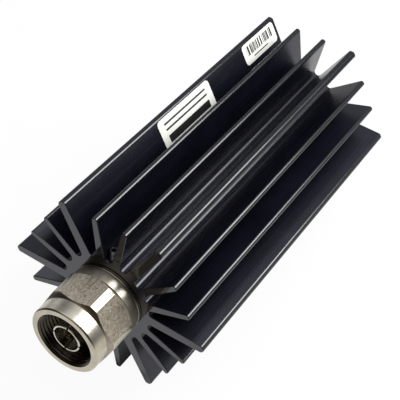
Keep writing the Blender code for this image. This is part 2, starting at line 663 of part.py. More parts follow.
def make_load_sleeve(material):
    """Outer conductor: a straight line, then a horn that narrows along the resistor."""
    spigot_bore = SPIGOT_RADIUS + SEAT_GAP
    spigot_end = SPIGOT_LENGTH + SEAT_GAP
    horn_start = SLEEVE_LINE_END + HORN_FLARE_LENGTH
    horn_end = REAR_CAP_FLOOR - CAP_LENGTH - SEAT_GAP
    horn_rear_radius = CAP_RADIUS + SEAT_GAP
    counterbore = TERMINAL_FLANGE_RADIUS + SEAT_GAP
    counterbore_floor = TERMINAL_FLANGE_FRONT - SEAT_GAP
    outline = [
        (SEAT_GAP, spigot_bore), (SEAT_GAP, BORE_CLEAR_RADIUS), (SLEEVE_REAR, BORE_CLEAR_RADIUS),
        (SLEEVE_REAR, counterbore), (counterbore_floor, counterbore),
        (counterbore_floor, horn_rear_radius), (horn_end, horn_rear_radius),
        (horn_start, CAP_RADIUS + HORN_GAP), (SLEEVE_LINE_END, LINE_RADIUS),
        (spigot_end, LINE_RADIUS), (spigot_end, spigot_bore),
    ]
    return turned("load_sleeve", outline, material, SLEEVE_SEGMENTS)


def make_disc_spring(material):
    """A coned washer between the rear terminal and the plug."""
    rim = SPRING_FRONT + SPRING_CONE
    outline = [
        (SPRING_FRONT, SPRING_HOLE_RADIUS), (SPRING_FRONT + SPRING_THICKNESS, SPRING_HOLE_RADIUS),
        (rim + SPRING_THICKNESS, TERMINAL_FLANGE_RADIUS), (rim, TERMINAL_FLANGE_RADIUS),
    ]
    return turned("disc_spring", outline, material)


def make_end_plug(material):
    """A flanged plug in the rear of the bore, with two blind holes for a pin spanner."""
    nose = SPRING_REAR + SEAT_GAP
    nose_end = SLEEVE_REAR + SEAT_GAP
    flange_radius = BORE_RADIUS + PLUG_LIP
    outline = [
        (nose, 0.0), (nose, TERMINAL_FLANGE_RADIUS), (nose_end, TERMINAL_FLANGE_RADIUS),
        (nose_end, BORE_CLEAR_RADIUS), (SINK_LENGTH + SEAT_GAP, BORE_CLEAR_RADIUS),
        (SINK_LENGTH + SEAT_GAP, flange_radius), (PLUG_REAR - FLANGE_CHAMFER, flange_radius),
        (PLUG_REAR, flange_radius - FLANGE_CHAMFER), (PLUG_REAR, 0.0),
    ]
    plug = turned("end_plug", outline, material, SLEEVE_SEGMENTS)
    for hand, side in (("left", -1.0), ("right", 1.0)):
        loop = circle(SPANNER_HOLE_RADIUS, PIN_SEGMENTS, (side * SPANNER_HOLE_PITCH_RADIUS, 0.0))
        drill = extruded(hand + "_spanner_hole_drill", [loop], PLUG_REAR - SPANNER_HOLE_DEPTH,
                         SPANNER_HOLE_DEPTH + CUT_MARGIN, material)
        cut(plug, drill)


def make_label(name, start, length, height, margin, material):
    """A thin plate with round corners, flat against the side of a fin near its tip."""
    normal, offset = fin_side(LABEL_FIN, 1.0)
    up = np.array([normal[1], -normal[0]])
    top = ENVELOPE_CORNER - margin
    corners = [np.array(p) for p in ((0.0, top - height), (length, top - height),
                                     (length, top), (0.0, top))]
    outline = []
    for i in range(4):
        before, after = corners[i - 1], corners[(i + 1) % 4]
        outline += rounded(before, corners[i], after, LABEL_CORNER, LABEL_ROUND_STEPS)
    bm = bmesh.new()
    layers = []
    for lift in (SEAT_GAP, SEAT_GAP + LABEL_THICKNESS):
        layer = []
        for along, rise in outline:
            y, z = normal * (offset + lift) + up * rise
            layer.append(bm.verts.new((FRONT_X + start + along, y, z + AXIS_HEIGHT)))
        layers.append(layer)
    below, above = layers
    bm.faces.new(below)
    bm.faces.new(above)
    for i in range(len(outline)):
        bm.faces.new((below[i - 1], below[i], above[i], above[i - 1]))
    bmesh.ops.recalc_face_normals(bm, faces=bm.faces)
    return add_object(name, bm, material)


def main():
    clear_scene()
    anodised = make_material("black_anodised_aluminium", "17171A", 0.42, 0.6)
    nickel = make_material("nickel_plated_brass", "B9B2A4", 0.32, 1.0)
    bright_nickel = make_material("bright_nickel_plated_bronze", "C9C4B8", 0.25, 1.0)
    gold = make_material("gold_plated_brass", "C79A4B", 0.25, 1.0)
    fluoropolymer = make_material("white_fluoropolymer", "E8E6E0", 0.45, 0.0)
    rubber = make_material("red_silicone_rubber", "7A2A22", 0.6, 0.0)
    steel = make_material("spring_steel", "8E8F92", 0.35, 1.0)
    black_steel = make_material("black_oxide_steel", "2B2B2D", 0.4, 0.9)
    brass = make_material("turned_brass", "B79A57", 0.35, 1.0)
    film = make_material("resistor_film_on_ceramic", "3A332E", 0.6, 0.0)
    polyester = make_material("white_polyester_label", "ECECE2", 0.5, 0.0)

    make_heat_sink(anodised)
    make_set_screw(black_steel)
    make_washer(nickel)
    make_connector_body(nickel)
    make_retaining_ring(steel)
    make_coupling_nut(nickel)
    make_gasket(rubber)
    make_outer_contact(bright_nickel)
    make_center_pin(gold)
    make_bead("front_insulator", NOSE_FRONT + SEAT_GAP, FRONT_BEAD_LENGTH, fluoropolymer)
    make_bead("rear_insulator", FLANGE_FRONT + REAR_BEAD_SETBACK, REAR_BEAD_LENGTH, fluoropolymer)
    make_collet(gold)
    make_front_terminal(brass)
    make_resistor_rod(film)
    make_rear_terminal(brass)
    make_load_sleeve(brass)
    make_disc_spring(steel)
    make_end_plug(anodised)
    make_label("product_label", PRODUCT_LABEL_START, PRODUCT_LABEL_LENGTH, PRODUCT_LABEL_HEIGHT,
               PRODUCT_LABEL_MARGIN, polyester)
    serial_start = SINK_LENGTH - SERIAL_LABEL_END_GAP - SERIAL_LABEL_LENGTH
    make_label("serial_label", serial_start, SERIAL_LABEL_LENGTH, SERIAL_LABEL_HEIGHT,
               SERIAL_LABEL_MARGIN, polyester)


main()
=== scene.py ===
"""Looks of a coaxial dummy load: its finer surfaces, its finishes, the light and the camera.

Lengths are in millimetres until a mesh is written, which turns them to metres.  The part's axis lies
along X.  A depth is the distance behind the heat sink's front face, so the plug has negative depths.
An angle round the axis is measured in degrees from straight up, towards -Y.
"""

import math

import bmesh
import bpy
import numpy as np
from mathutils import Matrix, Vector


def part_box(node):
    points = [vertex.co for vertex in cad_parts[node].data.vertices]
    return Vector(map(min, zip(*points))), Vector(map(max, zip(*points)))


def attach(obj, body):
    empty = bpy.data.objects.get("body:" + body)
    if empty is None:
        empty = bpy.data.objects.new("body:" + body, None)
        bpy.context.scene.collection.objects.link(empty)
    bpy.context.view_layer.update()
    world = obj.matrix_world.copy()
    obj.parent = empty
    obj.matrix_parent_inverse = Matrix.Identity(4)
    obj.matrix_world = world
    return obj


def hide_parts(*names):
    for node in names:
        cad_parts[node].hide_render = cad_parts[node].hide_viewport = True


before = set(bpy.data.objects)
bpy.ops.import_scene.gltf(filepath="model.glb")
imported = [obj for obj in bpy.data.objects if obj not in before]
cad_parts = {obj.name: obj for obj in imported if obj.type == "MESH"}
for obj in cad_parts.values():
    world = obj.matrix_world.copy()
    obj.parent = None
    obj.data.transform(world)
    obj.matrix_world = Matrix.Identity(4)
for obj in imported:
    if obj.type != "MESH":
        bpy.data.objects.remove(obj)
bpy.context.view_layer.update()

MM = 0.001

# The frame gives where the axis runs and where the heat sink and the nut begin and end
sink_low, sink_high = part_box("heat_sink")
nut_low, nut_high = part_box("coupling_nut")
FRONT_X = sink_low.x / MM
AXIS_Z = (nut_low.z + nut_high.z) / 2.0 / MM
SINK_LENGTH = (sink_high.x - sink_low.x) / MM
ENVELOPE_APOTHEM = (sink_high.z - sink_low.z) / 2.0 / MM
ENVELOPE_CORNER = ENVELOPE_APOTHEM / math.cos(math.pi / 6.0)

# Heat sink section, as it is extruded
FIN_COUNT = 18
FINS_PER_SIDE = FIN_COUNT // 6
FIN_PITCH = 360.0 / FIN_COUNT
FIRST_FIN_ANGLE = -30.0
SIDE_STEP = 60.0
BORE_RADIUS = 8.0
VALLEY_RADIUS = 12.75
FIN_FOOT_HALF = 1.13
FIN_TIP_HALF = 0.77
CORNER_FOOT_HALF = 1.515
CORNER_TIP_HALF = 1.24
TIP_ROUND = 0.68
SAWN_EDGE = 0.14
TIP_STEPS = 5
VALLEY_STEPS = 18

# Grub screw in the top valley; its hole is cut from inside the bore to above the screw
SCREW_DEPTH = 2.4
SCREW_RADIUS = 1.25
SCREW_HOLE_RADIUS = 1.55
SCREW_TOP = 15.0
SCREW_PITCH = 0.5
SCREW_THREAD_DEPTH = 0.2
SCREW_SOCKET_ACROSS_FLATS = 1.3
SCREW_SOCKET_DEPTH = 1.8
SCREW_POINT_RADIUS = 0.7
SCREW_CHAMFER = 0.36
SCREW_CHAMFER_HEIGHT = 0.27
SCREW_SOCKET_LIP = 0.16
HOLE_OVERRUN = 1.5

# Coupling nut; its rear comes up to the flange, where the frame leaves a gap of 0.3
NUT_FRONT = nut_low.x / MM - FRONT_X
NUT_REAR = nut_high.x / MM - FRONT_X
NUT_BACK = NUT_REAR + 0.24
FLAT_RADIUS = 10.0
FLAT_ANGLE = -4.5
LAND_RADIUS = 11.0
NECK_RADIUS = 9.65
REAR_FOOT_RADIUS = 10.05
REAR_CHAMFER_LENGTH = 1.15
COLLAR_REAR = NUT_FRONT + 4.3
COLLAR_RADIUS = 9.75
COLLAR_CHAMFER = 0.34
NECK_START = COLLAR_REAR + 0.05
NECK_SLOPE = 1.5
NECK_HOLLOW = 0.2
NECK_LEAN = 0.58
NECK_STEPS = 7
CORNER_BLEND = 0.02
MOUTH_RADIUS = 8.05
WEB_FRONT = NUT_REAR - 4.4
SLOT_FRONT = NUT_REAR - 3.0
SLOT_REAR = NUT_REAR - 1.4
SLOT_RADIUS = 7.2
WEB_BORE_RADIUS = 6.3
RELIEF_RADIUS = 8.05
THREAD_PITCH = 25.4 / 24.0
THREAD_CREST = 7.5
THREAD_ROOT = 7.94
THREAD_FLAT = 0.12
THREAD_START = NUT_FRONT + 0.5
THREAD_END = WEB_FRONT - 1.0
THREAD_ROWS = 112
SOFT_EDGE = 0.09

# Connector body; the flange, the washer and the heat sink come up to each other too
FLANGE_RADIUS = 10.0
FLANGE_FRONT = NUT_BACK + 0.13
FLANGE_REAR = -0.5
WASHER_FRONT = -0.46
WASHER_REAR = -0.04
BARREL_FRONT = WEB_FRONT - 0.3
BARREL_RADIUS = 6.0
SPIGOT_RADIUS = 5.2
SPIGOT_REAR = 8.0
STEP_RADIUS = 9.4
STEP_LENGTH = 0.25
NOSE_FRONT = WEB_FRONT - 2.6
NOSE_RADIUS = 4.95
NOSE_BORE = 4.33
NOSE_BORE_END = NOSE_FRONT + 3.7
LINE_BORE = 3.5
WASHER_BORE = 5.5

# Gasket, contacts and bead
GASKET_REAR = BARREL_FRONT - 0.3
GASKET_FRONT = GASKET_REAR - 1.0
GASKET_INNER = 5.25
GASKET_OUTER = 7.3
PIN_TIP = NUT_FRONT + 1.3
PIN_NOSE = 1.5
PIN_NOSE_END = PIN_TIP + 4.65
PIN_SHOULDER = PIN_TIP + 5.0
PIN_RADIUS = 0.83
PIN_SHANK_RADIUS = 1.52
PIN_SHANK_END = 2.0
PIN_TAIL_RADIUS = 0.8
PIN_TAIL_END = 6.0
BEAD_FRONT = NOSE_FRONT + 0.3
BEAD_REAR = BEAD_FRONT + 2.4
BEAD_INNER = 1.82
BEAD_OUTER = 3.2
FERRULE_FRONT = NUT_FRONT + 0.9
FERRULE_REAR = NOSE_FRONT + 3.4
FERRULE_RADIUS = 4.03
FERRULE_CHAMFER = 0.15
FINGER_COUNT = 4
FINGER_ANGLE = 5.0
FINGER_LENGTH = 5.0
FINGER_SLOT_HALF = 0.25

# Rear plug
PLUG_FRONT = 88.6
PLUG_STEP = 89.3
PLUG_NOSE_RADIUS = 5.0
PLUG_RADIUS = 7.7
PLUG_FLANGE_FRONT = SINK_LENGTH + 0.3
PLUG_REAR = SINK_LENGTH + 1.3
PLUG_FLANGE_RADIUS = 10.5
SPANNER_HOLE_PLACE = 5.0
SPANNER_HOLE_RADIUS = 0.9
SPANNER_HOLE_MOUTH = 1.1
SPANNER_HOLE_DEPTH = 2.5

# Labels: length, height, first depth, and how far the top edge lies below the hexagon's corner
PRODUCT_LABEL = {"length": 24.6, "height": 12.38, "start": 38.0, "top": ENVELOPE_CORNER - 1.2}
SERIAL_LABEL = {"length": 17.6, "height": 6.1, "start": 81.0, "top": ENVELOPE_CORNER - 1.0}
LABEL_CORNER = 1.2
LABEL_BACK = 0.02
LABEL_FACE = 0.12


# Shapes

def soften(keys, cuts, steps=3):
    """Round the corners of closed outlines.

    Keys has a shape of (..., K, 2).  At each corner the outline leaves its side at a cut's length from
    the corner and comes back on the next side as far off, on the parabola that touches both sides:
    P(s) = (1-s)^2 A + 2s(1-s) C + s^2 B, with C the corner and A, B the points at the cut's length.
    """
    keys = np.asarray(keys, float)
    before = np.roll(keys, 1, axis=-2) - keys
    after = np.roll(keys, -1, axis=-2) - keys
    length_before = np.linalg.norm(before, axis=-1, keepdims=True)
    length_after = np.linalg.norm(after, axis=-1, keepdims=True)
    cut = np.minimum(np.asarray(cuts, float)[..., None], 0.45 * np.minimum(length_before, length_after))
    a = keys + before / np.maximum(length_before, 1e-9) * cut
    b = keys + after / np.maximum(length_after, 1e-9) * cut
    s = np.linspace(0.0, 1.0, steps + 1)[:, None]
    arcs = ((1.0 - s) ** 2 * a[..., None, :] + 2.0 * s * (1.0 - s) * keys[..., None, :]
            + s ** 2 * b[..., None, :])
    return arcs.reshape(*keys.shape[:-2], -1, 2)


def around(depths, radii, angles):
    """Points at a depth and a radius, turned round the axis by an angle in degrees."""
    a = np.radians(angles)
    y, z = -radii * np.sin(a), AXIS_Z + radii * np.cos(a)
    return np.stack(np.broadcast_arrays(FRONT_X + depths, y, z), axis=-1)


def grid_faces(rows, columns, wrap_rows, wrap_columns):
    """Four-sided faces of a grid of points, which closes on itself along rows or columns if asked."""
    i = np.arange(rows if wrap_rows else rows - 1)[:, None]
    j = np.arange(columns if wrap_columns else columns - 1)[None, :]
    i2, j2 = (i + 1) % rows, (j + 1) % columns
    corners = np.broadcast_arrays(i * columns + j, i * columns + j2, i2 * columns + j2, i2 * columns + j)
    return np.stack(corners, axis=-1).reshape(-1, 4)


def make_piece(name, points, faces, materials, face_slots=None, sharp=35.0):
    """Write a closed mesh: points in millimetres, faces as rows of indices, one slot for each face."""
    mesh = bpy.data.meshes.new(name)
    mesh.from_pydata((np.asarray(points).reshape(-1, 3) * MM).tolist(), [], [list(f) for f in faces])
    for material in materials:
        mesh.materials.append(material)
    if face_slots is not None:
        mesh.polygons.foreach_set("material_index", np.asarray(face_slots, np.int32))
    bm = bmesh.new()
    bm.from_mesh(mesh)
    bmesh.ops.remove_doubles(bm, verts=bm.verts, dist=1e-7)
    bmesh.ops.dissolve_degenerate(bm, edges=bm.edges, dist=1e-7)
    loose = [e for e in bm.edges if not e.link_faces]
    bmesh.ops.delete(bm, geom=loose, context="EDGES")
    bmesh.ops.recalc_face_normals(bm, faces=bm.faces)
    bm.to_mesh(mesh)
    bm.free()
    mesh.shade_smooth()
    mesh.set_sharp_from_angle(angle=math.radians(sharp))
    piece = bpy.data.objects.new(name, mesh)
    bpy.context.scene.collection.objects.link(piece)
    return piece


def weigh_normals(piece):
    """Let broad faces keep their own direction beside narrow rounded edges."""
    modifier = piece.modifiers.new("broad_faces_stay_flat", "WEIGHTED_NORMAL")
    modifier.keep_sharp = True
    modifier.weight = 100


def cut_away(piece, cutter):
    """Subtract a closed mesh from a piece and remove the cutter."""
    modifier = piece.modifiers.new("cut", "BOOLEAN")
    modifier.operation = "DIFFERENCE"
    modifier.solver = "EXACT"
    modifier.object = cutter
    seen = piece.evaluated_get(bpy.context.evaluated_depsgraph_get())
    mesh = bpy.data.meshes.new_from_object(seen)
    piece.modifiers.clear()
    old = piece.data
    piece.data = mesh
    mesh.name = old.name
    bpy.data.meshes.remove(old)
    bpy.data.objects.remove(cutter, do_unlink=True)


def turned(name, corners, material, segments=160, soft=SOFT_EDGE):
    """A solid of revolution: corners are (depth, radius), softened and carried round the axis."""
    keys = np.array(corners, float)
    cuts = np.where(keys[:, 1] > 1e-6, soft, 0.0)
    outline = soften(keys, cuts)
    angles = np.arange(segments) * 360.0 / segments
    points = around(outline[None, :, 0], outline[None, :, 1], angles[:, None])
    faces = grid_faces(segments, len(outline), True, True)
    piece = make_piece(name, points, faces, [material])
    weigh_normals(piece)
    return piece


def dress(piece, node, body):
    """Let a new piece stand for a CAD node: it rides on the node's body, and the node is hidden."""
    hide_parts(node)
    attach(piece, body)
    return piece


# Heat sink

def direction(angle):
    """Unit vector (y, z) away from the axis."""
    a = math.radians(angle)
    return np.array([-math.sin(a), math.cos(a)])


def crossing(normal_a, offset_a, normal_b, offset_b):
    """Where two lines normal . p = offset meet."""
    return np.linalg.solve(np.array([normal_a, normal_b]), np.array([offset_a, offset_b]))


def fin_angle(index):
    """A fin's angle round the axis; fin 0 is the corner fin that carries the labels."""
    return index * FIN_PITCH + FIRST_FIN_ANGLE


def is_corner_fin(index):
    """Whether a fin points at a corner of the hexagon: each third one does."""
    return index % FINS_PER_SIDE == 0


def fin_side(index, hand):
    """A fin's side as a line in the section: its normal, which points into the valley, and offset."""
    foot, tip = FIN_FOOT_HALF, FIN_TIP_HALF
    if is_corner_fin(index):
        foot, tip = CORNER_FOOT_HALF, CORNER_TIP_HALF
    slope = (tip - foot) / (ENVELOPE_APOTHEM - VALLEY_RADIUS)
    normal = hand * direction(fin_angle(index) + 90.0) - slope * direction(fin_angle(index))
    size = math.hypot(1.0, slope)
    return normal / size, (foot - slope * VALLEY_RADIUS) / size


def arc(centre, radius, start, sweep, steps):
    """Points on a circle from one angle over a sweep, both in radians."""
    t = start + np.linspace(0.0, 1.0, steps + 1) * sweep
    return centre + radius * np.stack([np.cos(t), np.sin(t)], axis=-1)


def turn(p, q):
    """Signed angle from one vector to another."""
    return math.atan2(p[0] * q[1] - p[1] * q[0], float(p @ q))


def fillet(before, corner, after, radius, steps):
    """Circular arc that rounds a corner between two straight sides."""
    into = (before - corner) / np.linalg.norm(before - corner)
    out = (after - corner) / np.linalg.norm(after - corner)
    half = math.acos(float(into @ out)) / 2.0
    centre = corner + (into + out) / np.linalg.norm(into + out) * radius / math.sin(half)
    start = corner + into * radius / math.tan(half) - centre
    end = corner + out * radius / math.tan(half) - centre
    return arc(centre, radius, math.atan2(start[1], start[0]), turn(start, end), steps)


def fin_tip(index):
    """A fin's tip: its sides are cut off by the hexagon, and each corner is rounded."""
    angle = fin_angle(index)
    near = round(angle / SIDE_STEP) * SIDE_STEP
    sides = (near, near)
    if is_corner_fin(index):
        sides = (angle - SIDE_STEP / 2.0, angle + SIDE_STEP / 2.0)
    left, right = direction(sides[0]), direction(sides[1])
    left_line, right_line = fin_side(index, -1.0), fin_side(index, 1.0)
    chain = [crossing(*left_line, direction(angle), VALLEY_RADIUS),
             crossing(*left_line, left, ENVELOPE_APOTHEM)]
    if is_corner_fin(index):
        chain.append(crossing(left, ENVELOPE_APOTHEM, right, ENVELOPE_APOTHEM))
    chain += [crossing(*right_line, right, ENVELOPE_APOTHEM),
              crossing(*right_line, direction(angle), VALLEY_RADIUS)]
    return np.concatenate([fillet(*chain[i - 1:i + 2], TIP_ROUND, TIP_STEPS)
                           for i in range(1, len(chain) - 1)])


def valley(index):
    """Floor between a fin and the next: the arc that touches both sides and the core circle.

    A circle of radius q that touches both sides has its centre at B + q G, with B where the sides
    meet and G where the lines normal . p = 1 meet.  It touches the core circle of radius R from
    outside when |B + q G| = R + q, which is a quadratic equation for q.
    """
    line_a, line_b = fin_side(index, 1.0), fin_side(index + 1, -1.0)
    base = crossing(*line_a, *line_b)
    growth = crossing(line_a[0], 1.0, line_b[0], 1.0)
    a = growth @ growth - 1.0
    b = 2.0 * (base @ growth - VALLEY_RADIUS)
    c = base @ base - VALLEY_RADIUS ** 2
    radius = (-b + math.sqrt(b * b - 4.0 * a * c)) / (2.0 * a)
    centre = base + growth * radius
    start, floor, end = -line_a[0], -centre / np.linalg.norm(centre), -line_b[0]
    sweep = turn(start, floor) + turn(floor, end)
    return arc(centre, radius, math.atan2(start[1], start[0]), sweep, VALLEY_STEPS)


def upright_tube(name, radius, low, high, material):
    """A closed cylinder along +Z at the grub screw's place, between two heights above the axis."""
    a = np.arange(64) * math.tau / 64
    rings = [(0.0, low), (radius, low), (radius, high), (0.0, high)]
    points = np.array([np.stack([FRONT_X + SCREW_DEPTH + r * np.cos(a), r * np.sin(a),
                                 np.full_like(a, AXIS_Z + h)], axis=-1) for r, h in rings])
    return make_piece(name, points, grid_faces(4, 64, False, True), [material])


def make_heat_sink(side, end, tip, edge):
    """The extrusion: its section carried along X, with its edges broken at both ends.

    Each row of the grid is the section at one place: the bore, the outline drawn in by the broken
    edge, and the full outline; a point of the bore has the same angle as its outline point.  The
    finishes differ between the sides, the sawn ends, the flat tips and the tips' rounded edges.
    """
    outline = np.concatenate([np.concatenate([fin_tip(i), valley(i)]) for i in range(FIN_COUNT)])
    ahead, behind = np.roll(outline, -1, axis=0), np.roll(outline, 1, axis=0)
    along = ahead - outline
    along /= np.linalg.norm(along, axis=1, keepdims=True)
    back = outline - behind
    back /= np.linalg.norm(back, axis=1, keepdims=True)
    tangent = along + back
    tangent /= np.linalg.norm(tangent, axis=1, keepdims=True)
    inward = np.stack([-tangent[:, 1], tangent[:, 0]], axis=1)
    if (inward * outline).sum() > 0.0:
        inward = -inward
    drawn_in = outline + inward * SAWN_EDGE
    bore = outline / np.linalg.norm(outline, axis=1, keepdims=True) * BORE_RADIUS
    places = [(0.0, bore), (0.0, drawn_in), (SAWN_EDGE, outline), (SINK_LENGTH - SAWN_EDGE, outline),
              (SINK_LENGTH, drawn_in), (SINK_LENGTH, bore)]
    rows = [np.column_stack([np.full(len(s), FRONT_X + d), s[:, 0], s[:, 1] + AXIS_Z]) for d, s in places]
    faces = grid_faces(len(rows), len(outline), True, True)
    normals = np.array([direction(SIDE_STEP * i) for i in range(6)])
    reach = (outline @ normals.T).max(axis=1)
    reach = np.minimum(reach, np.roll(reach, -1))
    slots = np.zeros((len(rows), len(outline)), int)
    slots[[0, 4]] = 1
    slots[2] = np.where(reach > ENVELOPE_APOTHEM - TIP_ROUND, 3, 0)
    slots[2][reach > ENVELOPE_APOTHEM - 0.001] = 2
    piece = make_piece("heat_sink_extrusion", rows, faces, [side, end, tip, edge], slots.ravel(), sharp=30.0)
    cut_away(piece, upright_tube("screw_hole", SCREW_HOLE_RADIUS, BORE_RADIUS - HOLE_OVERRUN,
                                 SCREW_TOP + HOLE_OVERRUN, side))
    piece.data.set_sharp_from_angle(angle=math.radians(30.0))
    weigh_normals(piece)
    return dress(piece, "heat_sink", "load_body")


def zigzag(turns):
    """A V-shaped wave of height 0 to 1 for each whole turn, with its crest and root cut flat."""
    wave = np.abs(2.0 * (turns % 1.0) - 1.0)
    return np.clip((wave - THREAD_FLAT) / (1.0 - 2.0 * THREAD_FLAT), 0.0, 1.0)


def make_set_screw(material):
    """Grub screw: rings stacked upwards, threaded by a radius that depends on height and angle.

    The thread's radius at a height h and an angle a is the outer radius less a V wave of
    h / pitch - a / turn; the top has a hexagon socket, whose rings reach out to its six sides.
    """
    columns = 72
    a = np.arange(columns) * math.tau / columns
    foot = BORE_RADIUS
    shoulder = foot + SCREW_RADIUS - SCREW_POINT_RADIUS
    heights = np.arange(shoulder, SCREW_TOP - SCREW_CHAMFER_HEIGHT, SCREW_PITCH / 10.0)
    wave = zigzag(heights[:, None] / SCREW_PITCH - a[None, :] / math.tau)
    thread = SCREW_RADIUS - SCREW_THREAD_DEPTH * wave
    from_middle = (a + math.pi / 6.0) % (math.pi / 3.0) - math.pi / 6.0
    socket = SCREW_SOCKET_ACROSS_FLATS / 2.0
    hexagon = socket / np.cos(from_middle)
    rim = SCREW_RADIUS - SCREW_CHAMFER
    radii = [np.zeros(columns), np.full(columns, SCREW_POINT_RADIUS)] + list(thread)
    levels = [foot, foot] + list(heights)
    mouth = socket + SCREW_SOCKET_LIP
    bottom = SCREW_TOP - SCREW_SOCKET_DEPTH
    top_rings = [(np.full(columns, rim), SCREW_TOP - 0.02), (np.full(columns, rim - 0.06), SCREW_TOP),
                 (np.full(columns, mouth), SCREW_TOP), (hexagon, SCREW_TOP - 0.12),
                 (hexagon, bottom), (np.zeros(columns), bottom - 0.3)]
    radii += [r for r, _ in top_rings]
    levels += [h for _, h in top_rings]
    radii, levels = np.array(radii), np.array(levels)[:, None]
    xs = FRONT_X + SCREW_DEPTH + radii * np.cos(a)
    ys = radii * np.sin(a)
    points = np.stack(np.broadcast_arrays(xs, ys, AXIS_Z + levels), axis=-1)
    faces = grid_faces(len(radii), columns, False, True)
    piece = make_piece("grub_screw", points, faces, [material], sharp=40.0)
    return dress(piece, "set_screw", "load_body")


# Connector

def neck_curve(reach, steps):
    """Turned neck behind the collar: a slightly hollow cone from the neck's radius out to the hexagon.

    With s = 0 at the neck, the radius is neck + slope s - hollow s^2 and the depth is
    start + slope s - lean s^2.  Points go from where the radius reaches a value back to s = 0.
    """
    root = np.sqrt(NECK_SLOPE ** 2 - 4.0 * NECK_HOLLOW * (reach - NECK_RADIUS))
    top = (NECK_SLOPE - root) / (2.0 * NECK_HOLLOW)
    points = []
    for share in np.linspace(1.0, 0.0, steps + 1):
        s = top * share
        points.append((NECK_START + NECK_SLOPE * s - NECK_LEAN * s ** 2,
                       NECK_RADIUS + NECK_SLOPE * s - NECK_HOLLOW * s ** 2))
    return points


def make_nut(turned_metal, flat_metal, bore_metal_painted_shade, neck_metal_painted_shade):
    """Coupling nut: for each angle its own section, closed through the threaded bore.

    The angles are spaced closer where a flat meets a turned corner.
    The hexagon's side stands at F / cos(angle from its middle); the nut's outer radius there is that
    or the turned corner radius, whichever is less, blended where the two meet.  The rear chamfer is
    a cone, so it starts where that cone meets the outer radius, and so does the neck in front.  The
    thread's radius is its crest plus a V wave of depth / pitch - angle / turn, which fades in
    behind the mouth.
    """
    half_flat = math.degrees(math.acos(FLAT_RADIUS / LAND_RADIUS))
    sector = np.concatenate([np.linspace(-half_flat + 1.0, half_flat - 1.0, 25),
                             half_flat + np.linspace(-0.8, 0.8, 9),
                             np.linspace(half_flat + 1.5, SIDE_STEP - half_flat - 1.5, 6),
                             SIDE_STEP - half_flat + np.linspace(-0.8, 0.8, 9)])
    angles = (FLAT_ANGLE + sector[None, :] + SIDE_STEP * np.arange(6)[:, None]).ravel()
    off_flat = np.tile(sector, 6)
    off_flat = np.where(off_flat > SIDE_STEP / 2.0, off_flat - SIDE_STEP, off_flat)
    flat = FLAT_RADIUS / np.cos(np.radians(off_flat))
    outer = 0.5 * (flat + LAND_RADIUS - np.sqrt((flat - LAND_RADIUS) ** 2 + CORNER_BLEND ** 2))
    chamfered = np.maximum(outer - REAR_FOOT_RADIUS, 0.0) / (LAND_RADIUS - REAR_FOOT_RADIUS)
    chamfer = chamfered * REAR_CHAMFER_LENGTH
    ones = np.ones_like(outer)
    behind = [
        (WEB_FRONT, RELIEF_RADIUS, 0.0), (WEB_FRONT, WEB_BORE_RADIUS, 0.1),
        (SLOT_FRONT, WEB_BORE_RADIUS, 0.05), (SLOT_FRONT, SLOT_RADIUS, 0.0),
        (SLOT_REAR, SLOT_RADIUS, 0.0), (SLOT_REAR, WEB_BORE_RADIUS, 0.05), (NUT_BACK, WEB_BORE_RADIUS, 0.1),
        (NUT_BACK, np.minimum(outer, REAR_FOOT_RADIUS), 0.04), (NUT_BACK - chamfer, outer, 0.04),
    ]
    neck = [(d, r, 0.03 if i == 0 else 0.0) for i, (d, r) in enumerate(neck_curve(outer, NECK_STEPS))]
    before = [
        (COLLAR_REAR, NECK_RADIUS, 0.02), (COLLAR_REAR, COLLAR_RADIUS, 0.08),
        (NUT_FRONT + COLLAR_CHAMFER, COLLAR_RADIUS, 0.12), (NUT_FRONT, COLLAR_RADIUS - COLLAR_CHAMFER, 0.1),
        (NUT_FRONT, MOUTH_RADIUS, 0.05), (THREAD_START, THREAD_CREST, 0.0),
    ]
    relief = [(THREAD_END, THREAD_CREST, 0.0), (THREAD_END, RELIEF_RADIUS, 0.02)]
    chain = behind + neck + before + relief
    keys = np.stack([np.stack([d * ones, r * ones], axis=-1) for d, r, _ in chain], axis=1)
    cuts = np.array([cut for _, _, cut in chain])
    steps = 3
    section = soften(keys, np.broadcast_to(cuts, keys.shape[:2]), steps)
    start = (len(chain) - len(relief)) * (steps + 1)
    rows = np.linspace(THREAD_START, THREAD_END, THREAD_ROWS)[1:-1]
    wave = zigzag(rows[None, :] / THREAD_PITCH - angles[:, None] / 360.0)
    fade = np.clip((rows - NUT_FRONT - 0.4) / 0.7, 0.0, 1.0)
    thread = THREAD_CREST + (THREAD_ROOT - THREAD_CREST) * wave * fade
    bore = np.stack(np.broadcast_arrays(rows[None, :], thread), axis=-1)
    section = np.concatenate([section[:, :start], bore, section[:, start:]], axis=1)
    points = around(section[..., 0], section[..., 1], angles[:, None])
    count = section.shape[1]
    faces = grid_faces(len(angles), count, True, True)
    slots = np.zeros((len(angles), count), int)
    slots[:, start - 5:start + len(rows) + 8] = 2
    on_flat = np.abs(off_flat) < half_flat - 0.2
    from_rear, to_neck = (len(behind) - 1) * (steps + 1), len(behind) * (steps + 1) + 1
    slots[:, from_rear - steps - 1:from_rear] = 1
    slots[:, from_rear:to_neck] = np.where(on_flat & np.roll(on_flat, -1), 1, 0)[:, None]
    slots[:, to_neck + 3:to_neck + len(neck) * (steps + 1)] = 3
    # The thread and the neck take darker copies of the plate: painted shade of the deep bore and of the
    # groove
    metals = [turned_metal, flat_metal, bore_metal_painted_shade, neck_metal_painted_shade]
    piece = make_piece("coupling_nut_turned", points, faces, metals, slots.ravel(), sharp=35.0)
    weigh_normals(piece)
    return dress(piece, "coupling_nut", "nut")


